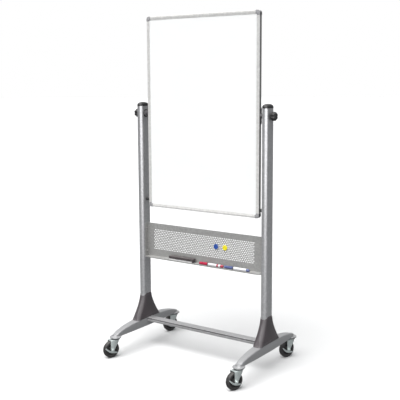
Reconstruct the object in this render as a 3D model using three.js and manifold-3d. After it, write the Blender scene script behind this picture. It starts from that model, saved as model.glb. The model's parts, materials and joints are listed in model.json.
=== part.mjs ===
// Rolling whiteboard: a double-sided board that turns between the two uprights of a castored stand.
// Millimetres. X runs along the board, Y from front to rear and Z up, with the floor at Z = 0.

import * as THREE from 'three';
import { mergeVertices } from 'three/addons/utils/BufferGeometryUtils.js';
import Module from 'manifold-3d';

const wasm = await Module();
wasm.setup();

// ---------------------------------------------------------------- driving dimensions

const FIT = 0.3; // gap between pieces that rest against each other
const SHAFT_CLEARANCE = 0.5; // radial gap round a shaft, screw or stem
const ROUND_STEPS = 6; // half the facets of an upright's rounded front or rear

// Board
const BOARD_WIDTH = 692;
const BOARD_HEIGHT = 1016;
const BOARD_THICKNESS = 20;
const BOARD_CORNER_RADIUS = 13;
const SHEET_THICKNESS = 1;
const TRIM_FACE = 18; // width of the trim over the writing face
const TRIM_WALL = 1.6;
const CORNER_ARM = 24; // length of a corner cap along each edge
const CORNER_PROUD = 0.6; // how far a corner cap stands proud of the trim

// Pivots
const PIVOT_HEIGHT = 1293;
const SIDE_GAP = 23.5; // board edge to upright
const PIVOT_PLATE_HEIGHT = 84;
const PIVOT_PLATE_DEPTH = 18;
const PIVOT_PLATE_THICKNESS = 3;
const PIVOT_SCREW_SPACING = 59;
const PIVOT_SCREW_DIAMETER = 4.5;
const STUD_DIAMETER = 12;
const STUD_FLANGE_DIAMETER = 27;
const STUD_FLANGE_THICKNESS = 4;
const STUD_SHOULDER_DIAMETER = 20;
const SPIGOT_DIAMETER = 10;
const WASHER_DIAMETER = 42;
const WASHER_THICKNESS = 5;
const KNOB_DIAMETER = 45;
const KNOB_LENGTH = 28;
const KNOB_NECK_DIAMETER = 27;
const KNOB_NECK_LENGTH = 4;
const KNOB_LOBES = 6;
const KNOB_BORE_DEPTH = 19;

// Uprights
const UPRIGHT_WIDTH = 36;
const UPRIGHT_DEPTH = 74;
const UPRIGHT_WALL = 2.2;
const UPRIGHT_ABOVE_PIVOT = 39;
const CAP_RIM = 3;
const CAP_OVERHANG = 0.8;
const CAP_DOME = 18;
const CAP_PLUG = 22;
const FOOT_PLUG_HEIGHT = 40;
const FOOT_BOLT_DIAMETER = 8;
const FOOT_BOLT_SPACING = 34;
const BUFFER_DIAMETER = 17;
const BUFFER_CLEARANCE = 1.5; // buffer nose to the edge of the board
const BUFFER_ABOVE_BOARD_FOOT = 40;

// Legs and the bar between them
const CASTER_SPACING = 528; // front stem to rear stem
const LEG_WIDTH = 50;
const LEG_TIP_WIDTH = 33;
const LEG_HEIGHT = 47;
const LEG_TIP_HEIGHT = 14;
const LEG_WALL = 4;
const LEG_EDGE_RADIUS = 6;
const LEG_ABOVE_COLLAR_FOOT = 4;
const LEG_BLOCK_LENGTH = 84; // solid middle under the upright
const COLLAR_DIAMETER = 62;
const COLLAR_RIM = 6;
const COLLAR_NECK_DIAMETER = 34;
const BAR_DEPTH = 44;
const BAR_HEIGHT = 22;
const BAR_BELOW_LEG_TOP = 0.5;
const BAR_EDGE_RADIUS = 4;
const BAR_GROOVE_HEIGHT = 5;
const BAR_GROOVE_DEPTH = 4;
const BAR_GROOVE_BELOW_TOP = 3.5;
const BAR_WALL = 2.5;

// Gusset: the moulded foot cover of an upright
const GUSSET_HEIGHT = 147; // leg top to the peaks on its two sides
const GUSSET_DIP = 22; // how much lower its front and rear rims are
const GUSSET_LENGTH = 204;
const GUSSET_OVERHANG = 0.4; // past the leg's widest section
const GUSSET_WALL = 2;
const GUSSET_CORNER_RADIUS = 13;
const GUSSET_FLARE = 1.25;

// Tray
const TRAY_BELOW_BOARD = 95; // board foot to the top edge of the tray
const TRAY_HEIGHT = 186;
const TRAY_SHEET = 1.6;
const TRAY_PANEL_FRONT = 8; // front face of the perforated panel, behind the stand's middle
const TRAY_FLANGE_DEPTH = 29;
const TRAY_FLANGE_CORNER = 12;
const TRAY_SHELF_DEPTH = 43;
const TRAY_CORNER_RADIUS = 22;
const TRAY_LIP = 5;

// Casters
const WHEEL_DIAMETER = 90;
const WHEEL_WIDTH = 26;
const WHEEL_RIM_DEPTH = 12;
const WHEEL_WEB_THICKNESS = 15;
const WHEEL_HUB_DIAMETER = 28;
const CASTER_TRAIL = 29;
const CASTER_TURN = THREE.MathUtils.degToRad(-19); // the wheels trail forward and a little left
const CROWN_GAP = 4; // wheel to fork crown
const CROWN_THICKNESS = 3;
const CROWN_DIAMETER = 46;
const FORK_PAST_AXLE = 10; // fork legs beyond the axle at their top
const FORK_PAST_STEM = 8; // and beyond the stem on the other side
const FORK_PLATE = 2.5;
const FORK_SIDE_GAP = 3; // wheel to fork leg
const FORK_EYE_RADIUS = 10;
const HUB_GAP = 0.5;
const AXLE_DIAMETER = 8;
const AXLE_HEAD_DIAMETER = 13;
const AXLE_HEAD_THICKNESS = 2.5;
const HEAD_DIAMETER = 46;
const HEAD_HEIGHT = 6.5;
const STEM_DIAMETER = 11;
const STEM_LENGTH = 13;
const KINGPIN_DIAMETER = 12;
const KINGPIN_HEAD_DIAMETER = 18;
const KINGPIN_HEAD_THICKNESS = 1.8;
const BRAKE_THICKNESS = 3;
const BRAKE_BAND = 8.5;

// Things that lie on the tray
const ERASER_LENGTH = 160;
const ERASER_DEPTH = 34;
const ERASER_FELT = 10;
const ERASER_BACK = 13;
const ERASER_CHEEK = 4;
const ERASER_X = -124;
const MARKER_LENGTH = 148;
const MARKER_DIAMETER = 18;
const MARKER_CAP_LENGTH = 52;
const MARKER_GAP_TO_LIP = 1.5;
const RED_MARKER_X = 70;
const BLUE_MARKER_X = 226;
const MAGNET_DIAMETER = 28;
const MAGNET_THICKNESS = 7;
const MAGNET_ABOVE_TRAY_FOOT = 104;
const BLUE_MAGNET_X = 82;
const YELLOW_MAGNET_X = 137;

// ---------------------------------------------------------------- levels and places that follow

const boardFoot = PIVOT_HEIGHT - BOARD_HEIGHT / 2;
const trayTop = boardFoot - TRAY_BELOW_BOARD;
const trayFoot = trayTop - TRAY_HEIGHT;
const uprightInner = BOARD_WIDTH / 2 + SIDE_GAP;
const uprightOuter = uprightInner + UPRIGHT_WIDTH;
const uprightX = uprightInner + UPRIGHT_WIDTH / 2;
const uprightTop = PIVOT_HEIGHT + UPRIGHT_ABOVE_PIVOT;

const axleHeight = WHEEL_DIAMETER / 2;
const crownFoot = WHEEL_DIAMETER + CROWN_GAP;
const crownTop = crownFoot + CROWN_THICKNESS;
const headFoot = crownTop + FIT;
const headTop = headFoot + HEAD_HEIGHT;
const collarFoot = headTop + FIT;
const legFoot = collarFoot + LEG_ABOVE_COLLAR_FOOT;
const legTop = legFoot + LEG_HEIGHT;
const uprightFoot = legTop + FIT;
const forkInner = WHEEL_WIDTH / 2 + FORK_SIDE_GAP;
const forkOuter = forkInner + FORK_PLATE;

// ---------------------------------------------------------------- geometry helpers

function weld(geometry) {
  const bare = geometry.clone();
  bare.deleteAttribute('normal');
  bare.deleteAttribute('uv');
  const welded = mergeVertices(bare, 1e-4);
  const index = welded.index.array;
  const kept = [];
  for (let i = 0; i < index.length; i += 3) {
    const [a, b, c] = index.slice(i, i + 3);
    if (a !== b && b !== c && c !== a) kept.push(a, b, c);
  }
  welded.setIndex(kept);
  return welded;
}

function toSolid(geometry) {
  const welded = weld(geometry);
  const vertProperties = new Float32Array(welded.attributes.position.array);
  const triVerts = new Uint32Array(welded.index.array);
  return new wasm.Manifold(new wasm.Mesh({ numProp: 3, vertProperties, triVerts }));
}

function toGeometry(solid) {
  const { vertProperties, triVerts } = solid.getMesh();
  const geometry = new THREE.BufferGeometry();
  geometry.setAttribute('position', new THREE.BufferAttribute(vertProperties, 3));
  geometry.setIndex(new THREE.BufferAttribute(triVerts, 1));
  geometry.computeVertexNormals();
  return geometry;
}

function join(...geometries) {
  return toGeometry(geometries.map(toSolid).reduce((sum, solid) => sum.add(solid)));
}

function cut(base, ...tools) {
  return toGeometry(tools.map(toSolid).reduce((rest, tool) => rest.subtract(tool), toSolid(base)));
}

function overlap(a, b) {
  return toGeometry(toSolid(a).intersect(toSolid(b)));
}

function box(x0, x1, y0, y1, z0, z1) {
  const geometry = new THREE.BoxGeometry(x1 - x0, y1 - y0, z1 - z0);
  return geometry.translate((x0 + x1) / 2, (y0 + y1) / 2, (z0 + z1) / 2);
}

// Extrusions of an outline drawn in the plane across the named axis
function extrudeZ(shape, from, to, curveSegments = 4) {
  const options = { depth: to - from, bevelEnabled: false, curveSegments };
  const geometry = new THREE.ExtrudeGeometry(shape, options);
  return geometry.translate(0, 0, from);
}

function extrudeX(shape, from, to, curveSegments = 4) {
  const toX = new THREE.Matrix4().makeBasis(
    new THREE.Vector3(0, 1, 0),
    new THREE.Vector3(0, 0, 1),
    new THREE.Vector3(1, 0, 0),
  );
  return extrudeZ(shape, from, to, curveSegments).applyMatrix4(toX);
}

function extrudeY(shape, from, to, curveSegments = 4) {
  return extrudeZ(shape, -to, -from, curveSegments).rotateX(Math.PI / 2);
}

// Solids of revolution. A profile is a list of [radius, height] that goes up the outside.
function latheZ(profile, segments = 20) {
  const points = profile.map(([radius, height]) => new THREE.Vector2(radius, height));
  return new THREE.LatheGeometry(points, segments).rotateX(Math.PI / 2);
}

function latheX(profile, segments = 20) {
  return latheZ(profile, segments).rotateY(Math.PI / 2);
}

function rodProfile(radius, from, to) {
  return [[0, from], [radius, from], [radius, to], [0, to]];
}

function rodZ(diameter, from, to, segments = 12) {
  return latheZ(rodProfile(diameter / 2, from, to), segments);
}

function rodX(diameter, from, to, segments = 12) {
  return latheX(rodProfile(diameter / 2, from, to), segments);
}

// Skin over a row of convex rings of equal point count, closed at both ends
function loft(rings) {
  const count = rings[0].length;
  const faces = [];
  for (let ring = 0; ring < rings.length - 1; ring++) {
    for (let i = 0; i < count; i++) {
      const a = ring * count + i;
      const b = ring * count + ((i + 1) % count);
      faces.push(a, b, b + count, a, b + count, a + count);
    }
  }
  const last = (rings.length - 1) * count;
  for (let i = 1; i < count - 1; i++) faces.push(0, i + 1, i, last, last + i, last + i + 1);
  const geometry = new THREE.BufferGeometry().setFromPoints(rings.flat());
  geometry.setIndex(faces);
  return geometry;
}

// ---------------------------------------------------------------- outlines

function roundedRectangle(halfWidth, halfHeight, radius, centreX = 0, centreY = 0) {
  const shape = new THREE.Shape();
  const x = halfWidth - radius;
  const y = halfHeight - radius;
  shape.absarc(centreX + x, centreY - y, radius, -Math.PI / 2, 0);
  shape.absarc(centreX + x, centreY + y, radius, 0, Math.PI / 2);
  shape.absarc(centreX - x, centreY + y, radius, Math.PI / 2, Math.PI);
  shape.absarc(centreX - x, centreY - y, radius, Math.PI, Math.PI * 1.5);
  shape.closePath();
  return shape;
}

// The uprights' section: flat sides and half-round front and rear, made smaller by an inset
function uprightOutline(inset) {
  const radius = UPRIGHT_WIDTH / 2 - inset;
  const straight = (UPRIGHT_DEPTH - UPRIGHT_WIDTH) / 2;
  const shape = new THREE.Shape();
  shape.absarc(0, straight, radius, 0, Math.PI);
  shape.absarc(0, -straight, radius, Math.PI, Math.PI * 2);
  shape.closePath();
  return shape;
}

function ringAt(shape, divisions, toPoint) {
  return shape.getPoints(divisions).slice(0, -1).map(({ x, y }) => toPoint(x, y));
}

function polygon(points) {
  return new THREE.Shape(points.map(([x, y]) => new THREE.Vector2(x, y)));
}

// ---------------------------------------------------------------- materials

function material(color, roughness, metalness) {
  return new THREE.MeshStandardMaterial({ color, roughness, metalness });
}

const silver = material(0xb4b5b8, 0.42, 0.6);
const trimSilver = material(0xd2d0cb, 0.38, 0.6);
const cornerGrey = material(0x9c9c9e, 0.5, 0);
const whiteEnamel = material(0xfcfcfc, 0.15, 0);
const fibreCore = material(0xa58a66, 0.9, 0);
const zinc = material(0xb9bfbe, 0.35, 0.9);
const darkSteel = material(0x3c3c3e, 0.45, 0.6);
const blackPlastic = material(0x2b2a2b, 0.5, 0);
const foot = material(0x4f4a4c, 0.55, 0);
const nylon = material(0xbcbcbe, 0.5, 0);
const rubber = material(0x2e2b2a, 0.8, 0);
const trayPaint = material(0xa5a6a5, 0.5, 0.4);
const felt = material(0xd8d8d8, 0.95, 0);
const redPlastic = material(0xc8102e, 0.35, 0);
const bluePlastic = material(0x1f3f9c, 0.35, 0);
const yellowPlastic = material(0xf2dc12, 0.35, 0);

const model = new THREE.Group();

function add(name, geometry, finish, parent = model) {
  const mesh = new THREE.Mesh(weld(geometry), finish);
  mesh.name = name;
  parent.add(mesh);
  return mesh;
}

const SIDES = [['left', -1], ['right', 1]];
const ENDS = [['front', -1], ['rear', 1]];

// A group at the middle of the stand whose own +X points out of the given side
function sideGroup(sign) {
  const group = new THREE.Group();
  group.rotation.z = sign > 0 ? 0 : Math.PI;
  model.add(group);
  return group;
}

// ---------------------------------------------------------------- board

const panelInset = TRIM_WALL + FIT;
const panelThickness = BOARD_THICKNESS - 2 * (TRIM_WALL + FIT);

function panelOutline(inset) {
  const radius = Math.max(BOARD_CORNER_RADIUS - inset, 1);
  return roundedRectangle(BOARD_WIDTH / 2 - inset, BOARD_HEIGHT / 2 - inset, radius, 0, PIVOT_HEIGHT);
}

function addPanel() {
  const half = panelThickness / 2;
  const coreHalf = half - SHEET_THICKNESS - FIT;
  add('board_core', extrudeY(panelOutline(panelInset), -coreHalf, coreHalf, 4), fibreCore);
  const frontSheet = extrudeY(panelOutline(panelInset), -half, -half + SHEET_THICKNESS, 4);
  add('board_sheet_front', frontSheet, whiteEnamel);
  add('board_sheet_rear', extrudeY(panelOutline(panelInset), half - SHEET_THICKNESS, half, 4), whiteEnamel);
}

// Channel section that grips the panel: the web is at the edge of the board, towards -x
function trimSection() {
  const half = BOARD_THICKNESS / 2;
  const ease = Math.min(1.2, TRIM_WALL * 0.7);
  return polygon([
    [ease, -half], [TRIM_FACE, -half], [TRIM_FACE, -half + TRIM_WALL], [TRIM_WALL, -half + TRIM_WALL],
    [TRIM_WALL, half - TRIM_WALL], [TRIM_FACE, half - TRIM_WALL], [TRIM_FACE, half], [ease, half],
    [0, half - ease], [0, -half + ease],
  ]);
}

function addTrims() {
  const alongHeight = BOARD_HEIGHT / 2 - CORNER_ARM - FIT;
  const alongWidth = BOARD_WIDTH / 2 - CORNER_ARM - FIT;
  const upright = extrudeZ(trimSection(), -alongHeight, alongHeight);
  const level = extrudeZ(trimSection(), -alongWidth, alongWidth);
  for (const [side, sign] of SIDES) {
    const strip = upright.clone().translate(-BOARD_WIDTH / 2, 0, 0).rotateZ(sign > 0 ? Math.PI : 0);
    add(`trim_${side}`, strip.translate(0, 0, PIVOT_HEIGHT), trimSilver);
  }
  for (const [place, turn] of [['top', Math.PI / 2], ['bottom', -Math.PI / 2]]) {
    const strip = level.clone().translate(-BOARD_HEIGHT / 2, 0, 0).rotateY(turn);
    add(`trim_${place}`, strip.translate(0, 0, PIVOT_HEIGHT), trimSilver);
  }
}

// Rounded cap over the two trims' ends: an L on each face with the panel's corner held inside
function addCornerCaps() {
  const faceHalf = BOARD_THICKNESS / 2 + CORNER_PROUD;
  const body = extrudeY(panelOutline(-CORNER_PROUD), -faceHalf, faceHalf);
  const slotHalf = panelThickness / 2 + FIT;
  const slot = extrudeY(panelOutline(TRIM_WALL), -slotHalf, slotHalf);
  for (const [side, sign] of SIDES) {
    for (const [place, up] of [['bottom', -1], ['top', 1]]) {
      const corner = (reachX, reachZ) => {
        const x = [sign * (BOARD_WIDTH / 2 - reachX), sign * (BOARD_WIDTH / 2 + 9)].sort((a, b) => a - b);
        const z = [up * (BOARD_HEIGHT / 2 - reachZ), up * (BOARD_HEIGHT / 2 + 9)].sort((a, b) => a - b);
        return box(...x, -BOARD_THICKNESS, BOARD_THICKNESS, z[0] + PIVOT_HEIGHT, z[1] + PIVOT_HEIGHT);
      };
      const ell = join(corner(CORNER_ARM, TRIM_FACE), corner(TRIM_FACE, CORNER_ARM));
      add(`corner_cap_${place}_${side}`, cut(overlap(body, ell), slot), cornerGrey);
    }
  }
}

// ---------------------------------------------------------------- pivots

const plateInner = BOARD_WIDTH / 2 + FIT;
const plateOuter = plateInner + PIVOT_PLATE_THICKNESS;
const washerInner = uprightInner - FIT - WASHER_THICKNESS;
const shaftBore = STUD_DIAMETER + 2 * SHAFT_CLEARANCE;

function pivotPlate() {
  const outline = roundedRectangle(PIVOT_PLATE_DEPTH / 2, PIVOT_PLATE_HEIGHT / 2, PIVOT_PLATE_DEPTH / 2 - 1);
  const plate = extrudeX(outline, plateInner, plateOuter, 5);
  const spigotHole = rodX(SPIGOT_DIAMETER + 2 * FIT, 0, uprightOuter);
  const screwHole = rodX(PIVOT_SCREW_DIAMETER + 2 * FIT, 0, uprightOuter, 10);
  const upper = screwHole.clone().translate(0, 0, PIVOT_SCREW_SPACING / 2);
  const lower = screwHole.clone().translate(0, 0, -PIVOT_SCREW_SPACING / 2);
  return cut(plate, spigotHole, upper, lower);
}

function pivotStud() {
  const flangeFoot = plateOuter + FIT;
  const flangeTop = flangeFoot + STUD_FLANGE_THICKNESS;
  const end = uprightOuter + FIT + KNOB_BORE_DEPTH - 1;
  return latheX([
    [0, plateInner + FIT], [SPIGOT_DIAMETER / 2, plateInner + FIT], [SPIGOT_DIAMETER / 2, flangeFoot],
    [STUD_FLANGE_DIAMETER / 2, flangeFoot], [STUD_FLANGE_DIAMETER / 2, flangeTop],
    [STUD_SHOULDER_DIAMETER / 2, flangeTop + 2], [STUD_SHOULDER_DIAMETER / 2, washerInner - FIT],
    [STUD_DIAMETER / 2, washerInner - FIT], [STUD_DIAMETER / 2, end - 1],
    [STUD_DIAMETER / 2 - 1, end], [0, end],
  ]);
}

function pivotWasher() {
  const ease = 1;
  const outer = WASHER_DIAMETER / 2;
  const top = washerInner + WASHER_THICKNESS;
  return latheX([
    [shaftBore / 2, washerInner], [outer - ease, washerInner], [outer, washerInner + ease],
    [outer, top], [shaftBore / 2, top], [shaftBore / 2, washerInner],
  ], 24);
}

// Star knob: a lobed grip on a round neck, with a blind bore for the stud
function knob() {
  const foot0 = uprightOuter + FIT;
  const gripFoot = foot0 + KNOB_NECK_LENGTH;
  const end = foot0 + KNOB_LENGTH;
  const steps = KNOB_LOBES * 5;
  const lobeDepth = 0.11;
  const ring = (x, scale) => Array.from({ length: steps }, (_, i) => {
    const angle = (i / steps) * Math.PI * 2;
    const lobe = 1 - (lobeDepth * (1 + Math.cos(KNOB_LOBES * angle))) / 2;
    const radius = (KNOB_DIAMETER / 2) * scale * lobe;
    return new THREE.Vector3(x, radius * Math.cos(angle), radius * Math.sin(angle));
  });
  const rings = [[gripFoot, 0.88], [gripFoot + 3, 1], [end - 5, 1], [end - 1.5, 0.93], [end, 0.78]];
  const grip = loft(rings.map(([x, scale]) => ring(x, scale)));
  const neck = rodX(KNOB_NECK_DIAMETER, foot0, gripFoot + 3, 20);
  const bore = rodX(shaftBore, foot0 - 1, foot0 + KNOB_BORE_DEPTH);
  return cut(join(grip, neck), bore);
}

function addPivots() {
  for (const [side, sign] of SIDES) {
    const group = sideGroup(sign);
    group.position.z = PIVOT_HEIGHT;
    add(`pivot_plate_${side}`, pivotPlate(), zinc, group);
    add(`pivot_stud_${side}`, pivotStud(), zinc, group);
    add(`pivot_washer_${side}`, pivotWasher(), nylon, group);
    add(`knob_${side}`, knob(), blackPlastic, group);
  }
}

// ---------------------------------------------------------------- uprights

function uprightTube() {
  const outline = uprightOutline(0);
  outline.holes.push(new THREE.Path(uprightOutline(UPRIGHT_WALL).getPoints(ROUND_STEPS)));
  const tube = extrudeZ(outline, uprightFoot, uprightTop, ROUND_STEPS).translate(uprightX, 0, 0);
  const bore = rodX(shaftBore + 1, uprightInner - 1, uprightOuter + 1).translate(0, 0, PIVOT_HEIGHT);
  return cut(tube, bore);
}

// Domed cap with a rim that covers the tube's wall and a plug that goes down inside it
function uprightCap() {
  const plugInset = UPRIGHT_WALL + FIT;
  const rimFoot = uprightTop + FIT;
  const domeFoot = rimFoot + CAP_RIM;
  const ring = (inset, z) => {
    const place = (x, y) => new THREE.Vector3(x + uprightX, y, z);
    return ringAt(uprightOutline(inset), ROUND_STEPS, place);
  };
  const domeRadius = UPRIGHT_WIDTH / 2 + CAP_OVERHANG;
  const dome = [0, 25, 50, 76].map((degrees) => {
    const angle = THREE.MathUtils.degToRad(degrees);
    const inset = domeRadius * (1 - Math.cos(angle)) - CAP_OVERHANG;
    return ring(inset, domeFoot + CAP_DOME * Math.sin(angle));
  });
  const cap = loft([ring(-CAP_OVERHANG, rimFoot), ...dome]);
  const plug = loft([ring(plugInset, uprightTop - CAP_PLUG), ring(plugInset, rimFoot + 1)]);
  return join(cap, plug);
}

function footPlug() {
  const outline = uprightOutline(UPRIGHT_WALL + FIT);
  const plug = extrudeZ(outline, uprightFoot, uprightFoot + FOOT_PLUG_HEIGHT, ROUND_STEPS);
  const hole = rodZ(FOOT_BOLT_DIAMETER, uprightFoot - 1, uprightFoot + FOOT_PLUG_HEIGHT + 1, 12);
  const holes = ENDS.map(([, end]) => hole.clone().translate(0, (end * FOOT_BOLT_SPACING) / 2, 0));
  return cut(plug, ...holes).translate(uprightX, 0, 0);
}

// Rubber buffer on the upright's inner face that keeps the foot of the board centred
function buffer() {
  const radius = BUFFER_DIAMETER / 2;
  const nose = BOARD_WIDTH / 2 + BUFFER_CLEARANCE;
  const seat = uprightInner - FIT;
  const height = boardFoot + BUFFER_ABOVE_BOARD_FOOT;
  const profile = [
    [0, nose], [radius - 4, nose], [radius - 1, nose + 3],
    [radius, seat - 4], [radius + 1.5, seat], [0, seat],
  ];
  return latheX(profile, 16).translate(0, 0, height);
}

function addUprights() {
  for (const [side, sign] of SIDES) {
    const group = sideGroup(sign);
    add(`upright_${side}`, uprightTube(), silver, group);
    add(`upright_cap_${side}`, uprightCap(), blackPlastic, group);
    add(`upright_plug_${side}`, footPlug(), darkSteel, group);
    add(`buffer_${side}`, buffer(), rubber, group);
  }
}

// ---------------------------------------------------------------- legs, gussets and cross bar

const legHalf = CASTER_SPACING / 2;

// The leg swells from its tips to its middle, in height and in width
function legRise(y) {
  const reach = Math.min(Math.abs(y) / legHalf, 1);
  return (1 - reach ** 2.4) ** 0.7;
}

function legTopAt(y) {
  return legFoot + LEG_TIP_HEIGHT + (LEG_HEIGHT - LEG_TIP_HEIGHT) * legRise(y);
}

function legWidthAt(y) {
  return LEG_WIDTH - (LEG_WIDTH - LEG_TIP_WIDTH) * Math.min(Math.abs(y) / legHalf, 1) ** 1.6;
}

function legSection(y, wall, radius) {
  const half = legWidthAt(y) / 2 - wall;
  const top = legTopAt(y) - wall;
  const floor = wall > 0 ? legFoot - 1 : legFoot;
  const shape = new THREE.Shape();
  shape.moveTo(half, floor);
  shape.absarc(half - radius, top - radius, radius, 0, Math.PI / 2);
  shape.absarc(-half + radius, top - radius, radius, Math.PI / 2, Math.PI);
  shape.lineTo(-half, floor);
  shape.closePath();
  return ringAt(shape, 2, (x, z) => new THREE.Vector3(x, y, z));
}

function legSkin(from, to, steps, wall, radius) {
  const stations = Array.from({ length: steps + 1 }, (_, i) => to + ((from - to) * i) / steps);
  return loft(stations.map((y) => legSection(y, wall, radius)));
}

// Flared collar that takes a caster's stem, blended up into the leg's tip
function collar() {
  const rim = COLLAR_DIAMETER / 2;
  const neck = COLLAR_NECK_DIAMETER / 2;
  const rimTop = collarFoot + COLLAR_RIM;
  const top = legFoot + LEG_TIP_HEIGHT + 1;
  return latheZ([
    [0, collarFoot], [rim - 1, collarFoot], [rim, collarFoot + 1], [rim, rimTop - 2], [rim - 2, rimTop],
    [neck + 5, rimTop + 2.5], [neck, rimTop + 6], [neck - 4, top], [0, top],
  ], 20);
}

function leg() {
  const outside = legSkin(-legHalf, legHalf, 18, 0, LEG_EDGE_RADIUS);
  const hollowStart = LEG_BLOCK_LENGTH / 2;
  const hollowEnd = legHalf - COLLAR_DIAMETER / 2;
  const stemBore = rodZ(STEM_DIAMETER + 2 * SHAFT_CLEARANCE, collarFoot - 1, headTop + STEM_LENGTH + 1);
  const boltBore = rodZ(FOOT_BOLT_DIAMETER + 2 * SHAFT_CLEARANCE, legFoot - 1, legTop + 1, 12);
  const collars = ENDS.map(([, end]) => collar().translate(0, end * legHalf, 0));
  const tools = ENDS.flatMap(([, end]) => [
    end > 0
      ? legSkin(hollowStart, hollowEnd, 5, LEG_WALL, 2)
      : legSkin(-hollowEnd, -hollowStart, 5, LEG_WALL, 2),
    stemBore.clone().translate(0, end * legHalf, 0),
    boltBore.clone().translate(0, (end * FOOT_BOLT_SPACING) / 2, 0),
  ]);
  return cut(join(outside, ...collars), ...tools).translate(uprightX, 0, 0);
}

// Outline of everything below a curve z(y), or above it when the far level is higher
function bounded(height, reach, farLevel) {
  const points = [];
  for (let i = 0; i <= 16; i++) {
    const y = -reach + (2 * reach * i) / 16;
    points.push([y, height(y)]);
  }
  return polygon([...points, [reach, farLevel], [-reach, farLevel]]);
}

function gusset() {
  const peak = legTop + GUSSET_HEIGHT;
  const rimHalfDepth = UPRIGHT_DEPTH / 2 + FIT + GUSSET_WALL;
  const rimHalfWidth = UPRIGHT_WIDTH / 2 + FIT + GUSSET_WALL;
  const baseHalfWidth = LEG_WIDTH / 2 + GUSSET_OVERHANG;
  const foot0 = legTopAt(GUSSET_LENGTH / 2);
  const steps = 6;
  const rings = Array.from({ length: steps + 1 }, (_, i) => {
    const rise = i / steps;
    const flare = (1 - rise) ** GUSSET_FLARE;
    const halfDepth = rimHalfDepth + (GUSSET_LENGTH / 2 - rimHalfDepth) * flare;
    const halfWidth = rimHalfWidth + (baseHalfWidth - rimHalfWidth) * (1 - rise);
    const radius = GUSSET_CORNER_RADIUS + (rimHalfWidth - 0.5 - GUSSET_CORNER_RADIUS) * rise;
    const z = foot0 + (peak - foot0) * rise;
    return ringAt(roundedRectangle(halfWidth, halfDepth, radius), 3, (x, y) => new THREE.Vector3(x, y, z));
  });
  const rim = (y) => {
    const reach = Math.min(Math.abs(y) / rimHalfDepth, 1);
    return peak - GUSSET_DIP * (1 - Math.cos(reach * Math.PI)) / 2;
  };
  const reach = GUSSET_LENGTH;
  const wide = LEG_WIDTH;
  const aboveRim = extrudeX(bounded(rim, reach, peak + 20), -wide, wide);
  const belowLeg = extrudeX(bounded((y) => legTopAt(y) + FIT, reach, legFoot), -wide, wide);
  const socket = extrudeZ(uprightOutline(-FIT), legFoot, peak + 20, ROUND_STEPS);
  return cut(loft(rings), socket, aboveRim, belowLeg).translate(uprightX, 0, 0);
}

// Hollow extrusion with a groove along its front and rear faces
function crossBar() {
  const top = legTop - BAR_BELOW_LEG_TOP;
  const middle = top - BAR_HEIGHT / 2;
  const reach = uprightX - LEG_WIDTH / 2 - FIT;
  const section = roundedRectangle(BAR_DEPTH / 2, BAR_HEIGHT / 2, BAR_EDGE_RADIUS, 0, middle);
  const outside = extrudeX(section, -reach, reach, 4);
  const grooveTop = top - BAR_GROOVE_BELOW_TOP;
  const grooveFloor = BAR_DEPTH / 2 - BAR_GROOVE_DEPTH;
  const groove = (y0, y1) => box(-reach - 1, reach + 1, y0, y1, grooveTop - BAR_GROOVE_HEIGHT, grooveTop);
  const hollow = box(
    -reach - 1, reach + 1, -grooveFloor + BAR_WALL, grooveFloor - BAR_WALL,
    top - BAR_HEIGHT + BAR_WALL, top - BAR_WALL,
  );
  return cut(outside, groove(-BAR_DEPTH, -grooveFloor), groove(grooveFloor, BAR_DEPTH), hollow);
}

function addBase() {
  for (const [side, sign] of SIDES) {
    const group = sideGroup(sign);
    add(`leg_${side}`, leg(), silver, group);
    add(`gusset_${side}`, gusset(), foot, group);
  }
  add('cross_bar', crossBar(), silver);
}

// ---------------------------------------------------------------- tray

const trayHalf = uprightInner - FIT;
const shelfFront = TRAY_PANEL_FRONT - TRAY_SHELF_DEPTH;
const shelfTop = trayFoot + TRAY_SHEET;

// Plan of the shelf, with its two front corners rounded
function shelfOutline(inset) {
  const half = trayHalf - inset;
  const front = shelfFront + inset;
  const rear = TRAY_PANEL_FRONT + TRAY_SHEET / 2;
  const radius = TRAY_CORNER_RADIUS - inset;
  const shape = new THREE.Shape();
  shape.moveTo(half, rear);
  shape.lineTo(-half, rear);
  shape.absarc(-half + radius, front + radius, radius, Math.PI, Math.PI * 1.5);
  shape.absarc(half - radius, front + radius, radius, Math.PI * 1.5, Math.PI * 2);
  shape.closePath();
  return shape;
}

// One folded sheet: a panel, a shelf with a low lip, and a flange against each upright
function tray() {
  const panelRear = TRAY_PANEL_FRONT + TRAY_SHEET;
  const panel = box(-trayHalf, trayHalf, TRAY_PANEL_FRONT, panelRear, trayFoot, trayTop);
  const flangeFront = TRAY_PANEL_FRONT - TRAY_FLANGE_DEPTH;
  const outline = new THREE.Shape();
  outline.moveTo(flangeFront, trayFoot);
  outline.lineTo(panelRear, trayFoot);
  outline.lineTo(panelRear, trayTop);
  const corner = [flangeFront + TRAY_FLANGE_CORNER, trayTop - TRAY_FLANGE_CORNER];
  outline.absarc(...corner, TRAY_FLANGE_CORNER, Math.PI / 2, Math.PI);
  outline.closePath();
  const flanges = [
    extrudeX(outline, -trayHalf, -trayHalf + TRAY_SHEET),
    extrudeX(outline, trayHalf - TRAY_SHEET, trayHalf),
  ];
  const shelf = extrudeZ(shelfOutline(0), trayFoot, shelfTop, 5);
  const lipBlock = extrudeZ(shelfOutline(0), trayFoot, shelfTop + TRAY_LIP, 5);
  const lip = cut(lipBlock, extrudeZ(shelfOutline(TRAY_SHEET), shelfTop, trayTop, 5));
  return join(panel, ...flanges, shelf, lip);
}

// ---------------------------------------------------------------- casters

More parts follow.
